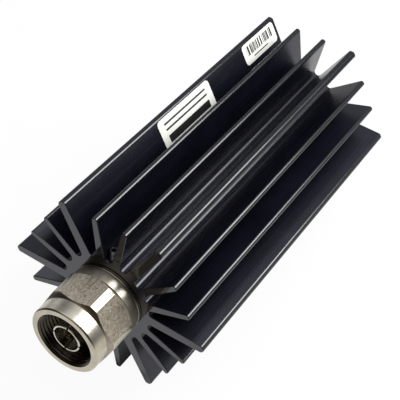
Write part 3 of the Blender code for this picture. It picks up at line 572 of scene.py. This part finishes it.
def make_connector(nickel, flange_nickel, bright, gold, polymer, rubber):
    """Body, washer, contacts, bead and gasket: solids of revolution along one line."""
    body = turned("connector_shell", [
        (SPIGOT_REAR, LINE_BORE), (SPIGOT_REAR, SPIGOT_RADIUS), (FLANGE_REAR, SPIGOT_RADIUS),
        (FLANGE_REAR, STEP_RADIUS), (FLANGE_REAR - STEP_LENGTH, STEP_RADIUS),
        (FLANGE_REAR - STEP_LENGTH, FLANGE_RADIUS), (FLANGE_FRONT, FLANGE_RADIUS),
        (FLANGE_FRONT, BARREL_RADIUS), (SLOT_REAR, BARREL_RADIUS), (SLOT_REAR, SPIGOT_RADIUS),
        (SLOT_FRONT, SPIGOT_RADIUS), (SLOT_FRONT, BARREL_RADIUS), (BARREL_FRONT, BARREL_RADIUS),
        (BARREL_FRONT, NOSE_RADIUS), (NOSE_FRONT, NOSE_RADIUS), (NOSE_FRONT, NOSE_BORE),
        (NOSE_BORE_END, NOSE_BORE), (NOSE_BORE_END, LINE_BORE)], flange_nickel, soft=0.06)
    dress(body, "connector_body", "load_body")
    washer = turned("flange_washer", [
        (WASHER_REAR, WASHER_BORE), (WASHER_REAR, FLANGE_RADIUS), (WASHER_FRONT, FLANGE_RADIUS),
        (WASHER_FRONT, WASHER_BORE)], nickel, soft=0.1)
    dress(washer, "mounting_washer", "load_body")
    gasket = turned("sealing_gasket", [
        (GASKET_REAR, GASKET_INNER), (GASKET_REAR, GASKET_OUTER), (GASKET_FRONT, GASKET_OUTER),
        (GASKET_FRONT, GASKET_INNER)], rubber, soft=0.25)
    dress(gasket, "nut_gasket", "load_body")
    make_ferrule(bright)
    nose = [(PIN_TIP + PIN_NOSE * (1.0 - math.cos(t)), PIN_RADIUS * math.sin(t))
            for t in np.linspace(0.0, math.pi / 2, 14)]
    pin = turned("contact_pin", nose + [
        (PIN_NOSE_END, PIN_RADIUS), (PIN_SHOULDER, PIN_SHANK_RADIUS), (PIN_SHANK_END, PIN_SHANK_RADIUS),
        (PIN_SHANK_END, PIN_TAIL_RADIUS), (PIN_TAIL_END, PIN_TAIL_RADIUS), (PIN_TAIL_END, 0.0)],
        gold, segments=64, soft=0.03)
    dress(pin, "center_pin", "load_body")
    bead = turned("front_bead", [
        (BEAD_FRONT, BEAD_INNER), (BEAD_REAR, BEAD_INNER), (BEAD_REAR, BEAD_OUTER),
        (BEAD_FRONT, BEAD_OUTER)], polymer, segments=96)
    dress(bead, "front_insulator", "load_body")


def make_ferrule(bright):
    """Outer contact: a thin turned ring, slit at its front into four spring fingers."""
    ring = turned("spring_ferrule", [
        (FERRULE_REAR, LINE_BORE), (FERRULE_REAR, FERRULE_RADIUS),
        (FERRULE_FRONT + FERRULE_CHAMFER, FERRULE_RADIUS),
        (FERRULE_FRONT, FERRULE_RADIUS - FERRULE_CHAMFER), (FERRULE_FRONT, LINE_BORE)],
        bright, segments=192, soft=0.05)
    ring.modifiers.clear()
    inner, outer, half = LINE_BORE - 0.6, FERRULE_RADIUS + 0.57, FINGER_SLOT_HALF
    for index in range(FINGER_COUNT):
        angle = FINGER_ANGLE + 360.0 / FINGER_COUNT * index
        out, along = direction(angle), direction(angle + 90.0)
        square = [out * r + along * w
                  for r, w in ((inner, -half), (inner, half), (outer, half), (outer, -half))]
        rows = [[(FRONT_X + d, y, z + AXIS_Z) for y, z in square]
                for d in (FERRULE_FRONT - 1.0, FERRULE_FRONT + FINGER_LENGTH)]
        faces = [list(f) for f in grid_faces(2, 4, False, True)] + [[0, 1, 2, 3], [4, 5, 6, 7]]
        cut_away(ring, make_piece("finger_slot", rows, faces, [bright]))
    ring.data.set_sharp_from_angle(angle=math.radians(35.0))
    weigh_normals(ring)
    dress(ring, "outer_contact", "load_body")


def make_end_plug(material):
    """Rear plug: a solid of revolution with two spanner holes drilled into its face."""
    plug = turned("rear_plug", [
        (PLUG_FRONT, 0.0), (PLUG_FRONT, PLUG_NOSE_RADIUS), (PLUG_STEP, PLUG_NOSE_RADIUS),
        (PLUG_STEP, PLUG_RADIUS), (PLUG_FLANGE_FRONT, PLUG_RADIUS), (PLUG_FLANGE_FRONT, PLUG_FLANGE_RADIUS),
        (PLUG_REAR, PLUG_FLANGE_RADIUS), (PLUG_REAR, 0.0)], material, soft=0.2)
    plug.modifiers.clear()
    columns = 48
    a = np.arange(columns) * math.tau / columns
    rings = [(0.0, PLUG_REAR - 2.8), (SPANNER_HOLE_RADIUS, PLUG_REAR - SPANNER_HOLE_DEPTH),
             (SPANNER_HOLE_RADIUS, PLUG_REAR - 0.2), (SPANNER_HOLE_MOUTH, PLUG_REAR),
             (SPANNER_HOLE_MOUTH, PLUG_REAR + 1.0), (0.0, PLUG_REAR + 1.0)]
    faces = grid_faces(len(rings), columns, False, True)
    for side in (-SPANNER_HOLE_PLACE, SPANNER_HOLE_PLACE):
        points = np.array([np.stack([np.full_like(a, FRONT_X + d), side + r * np.cos(a),
                                     AXIS_Z + r * np.sin(a)], axis=-1) for r, d in rings])
        cut_away(plug, make_piece("spanner_hole", points, faces, [material]))
    plug.data.set_sharp_from_angle(angle=math.radians(35.0))
    weigh_normals(plug)
    dress(plug, "end_plug", "load_body")


def make_label(name, node, material, start, length, top, height):
    """A thin film with round corners on the side of fin 0, with a UV map in millimetres."""
    normal, offset = fin_side(0, 1.0)
    up = np.array([normal[1], -normal[0]])
    square = [np.array(p) for p in ((0.0, 0.0), (length, 0.0), (length, height), (0.0, height))]
    edge = np.concatenate([fillet(square[i - 1], square[i], square[(i + 1) % 4], LABEL_CORNER, 8)
                           for i in range(4)])
    middle = np.array([length / 2.0, height / 2.0])
    rings = [(0.0, LABEL_BACK), (1.0, LABEL_BACK), (1.0, LABEL_FACE - 0.02), (0.985, LABEL_FACE),
             (0.0, LABEL_FACE)]
    points = []
    for share, lift in rings:
        flat = middle + (edge - middle) * share
        yz = normal[None, :] * (offset + lift) + up[None, :] * (top - height + flat[:, 1:2])
        points.append(np.column_stack([FRONT_X + start + flat[:, 0], yz[:, 0], yz[:, 1] + AXIS_Z]))
    faces = grid_faces(len(rings), len(edge), False, True)
    piece = make_piece(name, points, faces, [material], sharp=30.0)
    layer = piece.data.uv_layers.new(name="label_millimetres")
    loops = np.zeros(len(piece.data.loops), np.int32)
    piece.data.loops.foreach_get("vertex_index", loops)
    places = np.zeros(len(piece.data.vertices) * 3)
    piece.data.vertices.foreach_get("co", places)
    places = places.reshape(-1, 3) / MM
    u = places[:, 0] - FRONT_X - start
    v = places[:, 1] * up[0] + (places[:, 2] - AXIS_Z) * up[1] - (top - height)
    layer.data.foreach_set("uv", np.column_stack([u, v])[loops].astype(np.float32).ravel())
    return dress(piece, node, "load_body")


# Finishes

def hex_colour(text):
    """An sRGB colour such as 8F8A7C as linear red, green, blue and alpha."""
    channels = [int(text[i:i + 2], 16) / 255.0 for i in (0, 2, 4)]
    return (*[c / 12.92 if c <= 0.04045 else ((c + 0.055) / 1.055) ** 2.4 for c in channels], 1.0)


def add(tree, kind, values=None, links=None, **settings):
    """Add a node: its own settings by name, the values of its free sockets and the links into it."""
    node = tree.nodes.new(kind)
    for name, value in settings.items():
        setattr(node, name, value)
    for socket, value in (values or {}).items():
        node.inputs[socket].default_value = value
    for socket, source in (links or {}).items():
        tree.links.new(source, node.inputs[socket])
    return node


def new_material(name, **shader):
    """A material with its Principled shader; shader gives that node's own sockets."""
    material = bpy.data.materials.new(name)
    material.use_nodes = True
    tree = material.node_tree
    principled = tree.nodes["Principled BSDF"]
    for socket, value in shader.items():
        principled.inputs[socket.replace("_", " ")].default_value = value
    return material, tree, principled


def millimetres(tree):
    """Object coordinates in millimetres, centred on the part's axis."""
    coordinates = add(tree, "ShaderNodeTexCoord")
    return add(tree, "ShaderNodeMapping", {"Location": (0.0, 0.0, -AXIS_Z), "Scale": (1.0 / MM,) * 3},
               {"Vector": coordinates.outputs["Object"]}).outputs[0]


def lathe_point(tree, point):
    """Where a point lies for a lathe: its place along the axis and its radius."""
    parts = add(tree, "ShaderNodeSeparateXYZ", links={0: point})
    side = add(tree, "ShaderNodeCombineXYZ", links={"Y": parts.outputs["Y"], "Z": parts.outputs["Z"]})
    radius = add(tree, "ShaderNodeVectorMath", links={0: side.outputs[0]}, operation="LENGTH")
    place = {"X": parts.outputs["X"], "Y": radius.outputs["Value"]}
    return add(tree, "ShaderNodeCombineXYZ", links=place).outputs[0]


def noise(tree, point, size, stretch=(1.0, 1.0, 1.0), detail=3.0, roughness=0.55):
    """Noise whose features are about size millimetres across, drawn out by stretch."""
    scale = tuple(1.0 / (size * s) for s in stretch)
    scaled = add(tree, "ShaderNodeMapping", {"Scale": scale}, {"Vector": point})
    return add(tree, "ShaderNodeTexNoise", {"Scale": 1.0, "Detail": detail, "Roughness": roughness},
               {"Vector": scaled.outputs[0]}).outputs["Fac"]


def spread(tree, value, low, high, to_low=0.0, to_high=1.0):
    """Stretch the part of a value between low and high over a new range, clamped."""
    return add(tree, "ShaderNodeMapRange", {1: low, 2: high, 3: to_low, 4: to_high}, {0: value}).outputs[0]


def smooth(tree, value, low, high, to_low=0.0, to_high=1.0):
    """As spread, with a smooth start and end; to_high may be a socket."""
    links = {0: value}
    values = {1: low, 2: high, 3: to_low}
    (values if isinstance(to_high, float) else links)[4] = to_high
    return add(tree, "ShaderNodeMapRange", values, links, interpolation_type="SMOOTHSTEP").outputs[0]


def combine(tree, operation, first, second):
    """Two values, each a number or a socket, put together by one operation."""
    node = add(tree, "ShaderNodeMath", operation=operation)
    for socket, value in enumerate((first, second)):
        if isinstance(value, float):
            node.inputs[socket].default_value = value
        else:
            tree.links.new(value, node.inputs[socket])
    return node.outputs[0]


def product(tree, first, second):
    """One value times another."""
    return combine(tree, "MULTIPLY", first, second)


def either(tree, first, second):
    """The greater of two values."""
    return combine(tree, "MAXIMUM", first, second)


def mix(tree, share, first, second):
    """Mix two colours, each a hex string or a socket."""
    node = add(tree, "ShaderNodeMix", links={0: share}, data_type="RGBA")
    for socket, colour in ((6, first), (7, second)):
        if isinstance(colour, str):
            node.inputs[socket].default_value = hex_colour(colour)
        else:
            tree.links.new(colour, node.inputs[socket])
    return node.outputs[2]


def bump(tree, height, millimetres_high, strength):
    """The normal of a surface whose relief is a height from 0 to 1 times some millimetres."""
    return add(tree, "ShaderNodeBump", {"Strength": strength, "Distance": millimetres_high * MM},
               {"Height": height}).outputs[0]


def coat(tree, shader, colour, grain, low, high, relief=None, strength=0.4):
    """Link up a finish: its colour, a roughness from low to high that follows a grain, and its relief."""
    tree.links.new(colour, shader.inputs["Base Color"])
    tree.links.new(spread(tree, grain, 0.3, 0.7, low, high), shader.inputs["Roughness"])
    if relief:
        tree.links.new(bump(tree, grain, relief, strength), shader.inputs["Normal"])


def black_extrusion():
    """Black anodised aluminium as extruded: a dyed oxide film over lines drawn by the die."""
    material, tree, shader = new_material("black_anodised_extrusion", IOR=1.55,
                                          Specular_Tint=hex_colour("F4F5FF"))
    point = millimetres(tree)
    lines = noise(tree, point, 0.35, (150.0, 1.0, 1.0), detail=1.0)
    cloud = noise(tree, point, 14.0)
    colour = mix(tree, spread(tree, cloud, 0.35, 0.65), "0B0C14", "12131D")
    coat(tree, shader, colour, lines, 0.24, 0.29, 0.0008)
    return material


def sawn_end():
    """The same film on an end that was sawn and faced: smooth, so it mirrors the pale floor as grey."""
    material, tree, shader = new_material("black_anodised_sawn_end", IOR=1.66,
                                          Specular_Tint=hex_colour("F6F7FF"))
    point = millimetres(tree)
    marks = noise(tree, point, 0.3, (1.0, 1.0, 60.0), detail=2.0)
    cloud = noise(tree, point, 6.0)
    colour = mix(tree, spread(tree, cloud, 0.35, 0.65), "0E0E10", "131315")
    coat(tree, shader, colour, marks, 0.05, 0.11, 0.003)
    return material


def rubbed_tip(name, reflection, low, high):
    """Anodised fin tips, polished by handling: bright lines, and a few nicks worn down to the metal."""
    material, tree, shader = new_material(name, IOR=reflection)
    point = millimetres(tree)
    lines = noise(tree, point, 0.3, (120.0, 1.0, 1.0), detail=2.0)
    nicks = noise(tree, point, 0.5, (3.0, 1.0, 1.0), detail=4.0)
    worn = spread(tree, nicks, 0.68, 0.74)
    colour = mix(tree, worn, "141519", "4A4C50")
    coat(tree, shader, colour, lines, low, high, 0.002)
    return material


def turned_nickel(name, light, dark, rough):
    """Nickel plate over turned brass: rings left by the tool, and tarnish in soft patches."""
    material, tree, shader = new_material(name, Metallic=1.0)
    point = millimetres(tree)
    rings = noise(tree, lathe_point(tree, point), 0.12, detail=2.0)
    tarnish = noise(tree, point, 3.5, detail=3.0)
    colour = mix(tree, spread(tree, tarnish, 0.4, 0.8), light, dark)
    coat(tree, shader, colour, rings, rough - 0.03, rough + 0.05, 0.002)
    return material


def tumbled_nickel():
    """Nickel plate on a milled and tumbled flat: matt, mottled warm grey with small dark pits."""
    material, tree, shader = new_material("nickel_on_tumbled_flat", Metallic=1.0)
    point = millimetres(tree)
    blotch = noise(tree, point, 2.4, detail=4.0)
    grain = noise(tree, point, 0.6, detail=4.0, roughness=0.7)
    pits = noise(tree, point, 0.55, detail=3.0, roughness=0.6)
    base = mix(tree, spread(tree, blotch, 0.35, 0.65), "C6BFAC", "B9AB9B")
    base = mix(tree, spread(tree, grain, 0.4, 0.62), base, "938C7C")
    base = mix(tree, spread(tree, pits, 0.62, 0.7), base, "5E554A")
    coat(tree, shader, base, grain, 0.5, 0.66, 0.03, 0.7)
    return material


def plain_metal(name, light, dark, rough, size):
    """A drawn or turned metal: two near colours in patches of one size, and rings in its gloss."""
    material, tree, shader = new_material(name, Metallic=1.0)
    point = millimetres(tree)
    rings = noise(tree, lathe_point(tree, point), 0.15, detail=2.0)
    colour = mix(tree, spread(tree, noise(tree, point, size), 0.4, 0.65), light, dark)
    coat(tree, shader, colour, rings, rough - 0.05, rough + 0.08)
    return material


def plain_solid(name, light, dark, rough, size):
    """Rubber, polymer or film: two near colours in patches of one size, and a fine grain."""
    material, tree, shader = new_material(name)
    point = millimetres(tree)
    grain = noise(tree, point, 0.2, detail=3.0)
    colour = mix(tree, spread(tree, noise(tree, point, size), 0.4, 0.65), light, dark)
    coat(tree, shader, colour, grain, rough - 0.06, rough + 0.08, 0.008)
    return material


def band(tree, value, low, high, edge=0.06):
    """1 where a value lies between low and high, with edges that are soft over a small width."""
    rise = spread(tree, value, low, low + edge)
    fall = spread(tree, value, high - edge, high, 1.0, 0.0)
    return product(tree, rise, fall)


def rectangle(tree, across, up, box):
    """1 inside a rectangle (left, right, bottom, top) in millimetres."""
    return product(tree, band(tree, across, *box[:2]), band(tree, up, *box[2:]))


def printed_film(name, draw):
    """White polyester label stock: satin, faintly yellowed, with its print in dark ink."""
    material, tree, shader = new_material(name, Roughness=0.45)
    uv = add(tree, "ShaderNodeUVMap", uv_map="label_millimetres")
    parts = add(tree, "ShaderNodeSeparateXYZ", links={0: uv.outputs[0]})
    ink = draw(tree, parts.outputs["X"], parts.outputs["Y"])
    stain = noise(tree, millimetres(tree), 3.0)
    film = mix(tree, spread(tree, stain, 0.35, 0.7), "F6F6EE", "F0F0E6")
    tree.links.new(mix(tree, ink, film, "18181A"), shader.inputs["Base Color"])
    return material


def product_print(tree, u, v):
    """Three thin bars above and one broad band below, all from edge to edge of the print."""
    ink = rectangle(tree, u, v, (2.4, 22.2, 5.2, 7.4))
    for box in ((2.4, 22.2, 10.3, 10.9), (2.4, 22.2, 8.7, 9.3), (2.4, 22.2, 3.4, 4.0)):
        ink = either(tree, ink, rectangle(tree, u, v, box))
    return ink


def serial_print(tree, u, v):
    """A block of upright bars of uneven width over one thin bar."""
    stripes = add(tree, "ShaderNodeTexNoise", {"Scale": 1.6, "Detail": 1.0}, {"W": u}, noise_dimensions="1D")
    bars = spread(tree, stripes.outputs["Fac"], 0.47, 0.5)
    block = rectangle(tree, u, v, (1.6, 16.0, 2.3, 5.2))
    return either(tree, product(tree, bars, block), rectangle(tree, u, v, (4.5, 12.5, 1.1, 1.5)))


# Setting

def seen_directly(tree):
    """1 for rays from the camera and rays mirrored or carried through glass, else 0."""
    path = add(tree, "ShaderNodeLightPath")
    mirrored = either(tree, path.outputs["Is Glossy Ray"], path.outputs["Is Transmission Ray"])
    return either(tree, path.outputs["Is Camera Ray"], mirrored)


# Shares of full light: how much of the paper is lit evenly, what a wall keeps at the horizon, the
# walls and the ceiling, and the two shaded places of the floor
FLOOR_SHARE = 0.94
HORIZON_SHARE = 0.8
FRONT_WALL, REAR_WALL, LEFT_WALL, CEILING = 0.04, 0.36, 0.6, 1.25
SHADE_UNDER_PART, SHADE_FAR_LEFT = 0.12, 0.15
FLOOR_HALF = 6.0  # metres


def wall_level(tree, x):
    """How bright a wall is: it rises from the dim one behind the camera to the one behind the part."""
    return smooth(tree, x, -0.35, 0.45, FRONT_WALL, REAR_WALL)


def make_floor():
    """White paper in a pool of light, which still takes the object's shadow.

    Seen directly it is white.  Mirrored, its level falls from 1 near the object to the room's far off:
    level = room + (1 - room) * smooth(distance), with smooth going from 1 at 0.09 m to 0 at 0.3 m.
    Mirrored, it carries a painted shadow under the part, and painted shade in front of it on the left from
    50 mm to 70 mm off the axis.
    """
    mesh = bpy.data.meshes.new("floor")
    corners = [(x * FLOOR_HALF, y * FLOOR_HALF, 0.0) for x, y in ((-1, -1), (1, -1), (1, 1), (-1, 1))]
    mesh.from_pydata(corners, [], [(0, 1, 2, 3)])
    floor = bpy.data.objects.new("floor", mesh)
    bpy.context.scene.collection.objects.link(floor)
    material = bpy.data.materials.new("white_paper_floor")
    material.use_nodes = True
    tree = material.node_tree
    tree.nodes.clear()
    coordinates = add(tree, "ShaderNodeTexCoord")
    from_middle = {0: coordinates.outputs["Object"]}
    distance = add(tree, "ShaderNodeVectorMath", links=from_middle, operation="LENGTH")
    away = add(tree, "ShaderNodeVectorMath", links=from_middle, operation="NORMALIZE")
    parts = add(tree, "ShaderNodeSeparateXYZ", links={0: away.outputs[0]})
    room = product(tree, wall_level(tree, parts.outputs["X"]), HORIZON_SHARE)
    level = smooth(tree, distance.outputs["Value"], 0.09, 0.3, 1.0, room)
    paper = add(tree, "ShaderNodeBsdfDiffuse", {"Color": hex_colour("E8E8E8")})
    glow = add(tree, "ShaderNodeEmission", {"Color": (1.0, 1.0, 1.0, 1.0)})
    place = add(tree, "ShaderNodeSeparateXYZ", links={0: coordinates.outputs["Object"]})
    beside = add(tree, "ShaderNodeMath", links={0: place.outputs["Y"]}, operation="ABSOLUTE")
    # Painted shadow in the mirrored glow under the part, and painted shade on the left in front of it
    open_side = smooth(tree, beside.outputs[0], 0.006, 0.017, SHADE_UNDER_PART)
    beyond = combine(tree, "SUBTRACT", place.outputs["X"], FRONT_X * MM)
    open_front = spread(tree, beyond, -0.003, 0.0, 1.0, 0.0)
    open_rear = spread(tree, beyond, 0.1, 0.112)
    lit = either(tree, either(tree, open_side, open_front), open_rear)
    far_left = smooth(tree, place.outputs["Y"], 0.05, 0.07, 1.0, SHADE_FAR_LEFT)
    beside_part = smooth(tree, beyond, -0.008, 0.008)
    lit = product(tree, lit, either(tree, far_left, beside_part))
    path = add(tree, "ShaderNodeLightPath")
    strength = either(tree, product(tree, level, lit), path.outputs["Is Camera Ray"])
    tree.links.new(strength, glow.inputs["Strength"])
    share = product(tree, seen_directly(tree), FLOOR_SHARE)
    both = add(tree, "ShaderNodeMixShader", links={0: share, 1: paper.outputs[0], 2: glow.outputs[0]})
    add(tree, "ShaderNodeOutputMaterial", links={"Surface": both.outputs[0]})
    mesh.materials.append(material)


def make_world():
    """The room round the table, without a hard edge anywhere.

    For a direction (x, y, z), level = wall(x) * rise(z), where rise goes from the horizon's share at
    z = 0 to 1 at z = 0.3, with a lighter wall on the left from y = 0.72 to y = 0.82.  Overhead it turns
    into the pale ceiling, from z = 0.68 to z = 0.9, and 0.22 lower behind the camera.
    """
    world = bpy.data.worlds.new("studio")
    bpy.context.scene.world = world
    world.use_nodes = True
    tree = world.node_tree
    tree.nodes.clear()
    direction_seen = add(tree, "ShaderNodeTexCoord")
    parts = add(tree, "ShaderNodeSeparateXYZ", links={0: direction_seen.outputs["Generated"]})
    x, y, z = (parts.outputs[i] for i in range(3))
    rise = smooth(tree, z, 0.0, 0.3, HORIZON_SHARE)
    left_wall = product(tree, smooth(tree, y, 0.72, 0.82, 0.0, LEFT_WALL), spread(tree, x, 0.0, 0.5))
    wall = combine(tree, "ADD", product(tree, wall_level(tree, x), rise), left_wall)
    height = combine(tree, "ADD", z, spread(tree, x, -0.7, -0.3, 0.22, 0.0))
    level = add(tree, "ShaderNodeMix", {3: CEILING}, {0: smooth(tree, height, 0.68, 0.9), 2: wall})
    tint = mix(tree, spread(tree, x, -0.9, -0.4, 1.0, 0.0), "F4F6FF", "FFE2CC")
    path = add(tree, "ShaderNodeLightPath")
    tint = mix(tree, path.outputs["Is Camera Ray"], tint, "FFFFFF")
    strength = either(tree, level.outputs[0], path.outputs["Is Camera Ray"])
    room = add(tree, "ShaderNodeBackground", links={"Color": tint, "Strength": strength})
    add(tree, "ShaderNodeOutputWorld", links={"Surface": room.outputs[0]})


# Soft box: its direction from the part's axis, and its distance and size in metres
SOFT_BOX = {"towards": (0.482, -0.479, 0.735), "distance": 0.359, "size": (0.18, 0.26), "watts": 1.43}


def make_lamp(name, towards, distance, size, watts):
    """A soft box that faces the part from a direction: its width runs with the part's axis."""
    lamp = bpy.data.lights.new(name, "AREA")
    lamp.shape = "RECTANGLE"
    lamp.size, lamp.size_y = size
    lamp.energy = watts
    box = bpy.data.objects.new(name, lamp)
    bpy.context.scene.collection.objects.link(box)
    back = Vector(towards).normalized()
    tall = back.cross(Vector((1.0, 0.0, 0.0))).normalized()
    turned_to = Matrix((tall.cross(back), tall, back)).transposed().to_4x4()
    place = Vector((0.0, 0.0, AXIS_Z * MM)) + back * distance
    box.matrix_world = Matrix.Translation(place) @ turned_to


# Camera, as fitted to the photograph: the view's direction, its roll, and its place beside the axis
CAMERA_AZIMUTH = -61.834
CAMERA_ELEVATION = 43.490
CAMERA_ROLL = -6.438
CAMERA_DISTANCE = 287.339
CAMERA_RIGHT = -3.323
CAMERA_UP = -3.799
FOCAL_PIXELS = 1029.12
FRAME_PIXELS = 400.0
SENSOR_WIDTH = 36.0


def make_camera():
    """The camera at the photograph's viewing angle, turned by its roll about its own view."""
    a, e, roll = (math.radians(x) for x in (CAMERA_AZIMUTH, CAMERA_ELEVATION, CAMERA_ROLL))
    back = Vector((math.sin(a) * math.cos(e), -math.cos(a) * math.cos(e), math.sin(e)))
    right = Vector((math.cos(a), math.sin(a), 0.0))
    up = back.cross(right)
    data = bpy.data.cameras.new("photo_camera")
    data.sensor_width = SENSOR_WIDTH
    data.lens = FOCAL_PIXELS / FRAME_PIXELS * data.sensor_width
    data.clip_start, data.clip_end = 0.01, 20.0
    camera = bpy.data.objects.new("photo_camera", data)
    bpy.context.scene.collection.objects.link(camera)
    middle = Vector((FRONT_X + SINK_LENGTH / 2.0, 0.0, AXIS_Z))
    place = middle + back * CAMERA_DISTANCE + right * CAMERA_RIGHT + up * CAMERA_UP
    image_right = right * math.cos(roll) - up * math.sin(roll)
    image_up = right * math.sin(roll) + up * math.cos(roll)
    turned_to = Matrix((image_right, image_up, back)).transposed().to_4x4()
    camera.matrix_world = Matrix.Translation(place * MM) @ turned_to
    bpy.context.scene.camera = camera


def assign(node, material):
    """Give a CAD node that keeps its own shape one material all over."""
    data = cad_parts[node].data
    data.materials.clear()
    data.materials.append(material)


def main():
    """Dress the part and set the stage."""
    # Nickel plate on turned brass: warm grey with a soft gloss; brighter on the contact, duller on the
    # flange and a little darker there as painted shade, and dark in the thread and in the neck as painted
    # shade
    nickel = turned_nickel("nickel_plate_turned", "C0BAA9", "A99F8D", 0.26)
    bright = turned_nickel("nickel_plate_bright", "C9C5BB", "A39C8E", 0.2)
    flange_nickel = turned_nickel("nickel_plate_flange_painted_shade", "B8B2A2", "9A917F", 0.4)
    thread_nickel_painted_shade = turned_nickel("nickel_plate_painted_shade_in_thread", "4A453C", "2A2721", 0.3)
    neck_nickel_painted_shade = turned_nickel("nickel_plate_painted_shade_in_neck", "A0978A", "7B7364", 0.3)
    # Gold plate on a turned pin, glossy; darkened to a brown gold as painted shade of the pin deep in the
    # mouth
    gold = plain_metal("gold_plate_darkened_as_shade", "5A452B", "403120", 0.2, 1.5)
    # Brass as turned: pale yellow, half matt
    brass = plain_metal("turned_brass", "B4965A", "94763F", 0.33, 3.0)
    # Spring steel, rolled and tempered: cool grey
    steel = plain_metal("spring_steel", "8C8D90", "6E6F73", 0.33, 2.0)
    # Alloy steel, blackened in oil: dark grey with a soft gloss
    black_steel = plain_metal("black_oxide_steel", "5C5D61", "47484C", 0.26, 0.8)
    # Machined fluoropolymer: waxy white; moulded silicone rubber: near black, matt; lacquered film on
    # ceramic: dull brown
    polymer = plain_solid("white_fluoropolymer", "E6E4DD", "D8D5CC", 0.45, 1.5)
    rubber = plain_solid("dark_silicone_rubber", "2E2724", "221D1B", 0.6, 1.2)
    film = plain_solid("resistor_film", "3A332E", "2A2522", 0.55, 4.0)
    tip = rubbed_tip("black_anodised_rubbed_tip", 1.5, 0.2, 0.32)
    edge = rubbed_tip("black_anodised_polished_edge", 1.6, 0.16, 0.24)

    make_heat_sink(black_extrusion(), sawn_end(), tip, edge)
    make_set_screw(black_steel)
    make_nut(nickel, tumbled_nickel(), thread_nickel_painted_shade, neck_nickel_painted_shade)
    make_connector(nickel, flange_nickel, bright, gold, polymer, rubber)
    make_end_plug(sawn_end())
    make_label("product_label_film", "product_label",
               printed_film("polyester_label_with_bars", product_print), **PRODUCT_LABEL)
    make_label("serial_label_film", "serial_label",
               printed_film("polyester_label_with_stripes", serial_print), **SERIAL_LABEL)
    for node, material in (("retaining_ring", steel), ("rear_insulator", polymer), ("contact_collet", gold),
                           ("front_terminal", brass), ("resistor_rod", film), ("rear_terminal", brass),
                           ("load_sleeve", brass), ("disc_spring", steel)):
        assign(node, material)

    make_floor()
    make_world()
    make_lamp("main_soft_box", **SOFT_BOX)
    make_camera()
    bpy.context.scene.view_settings.view_transform = "Standard"


main()
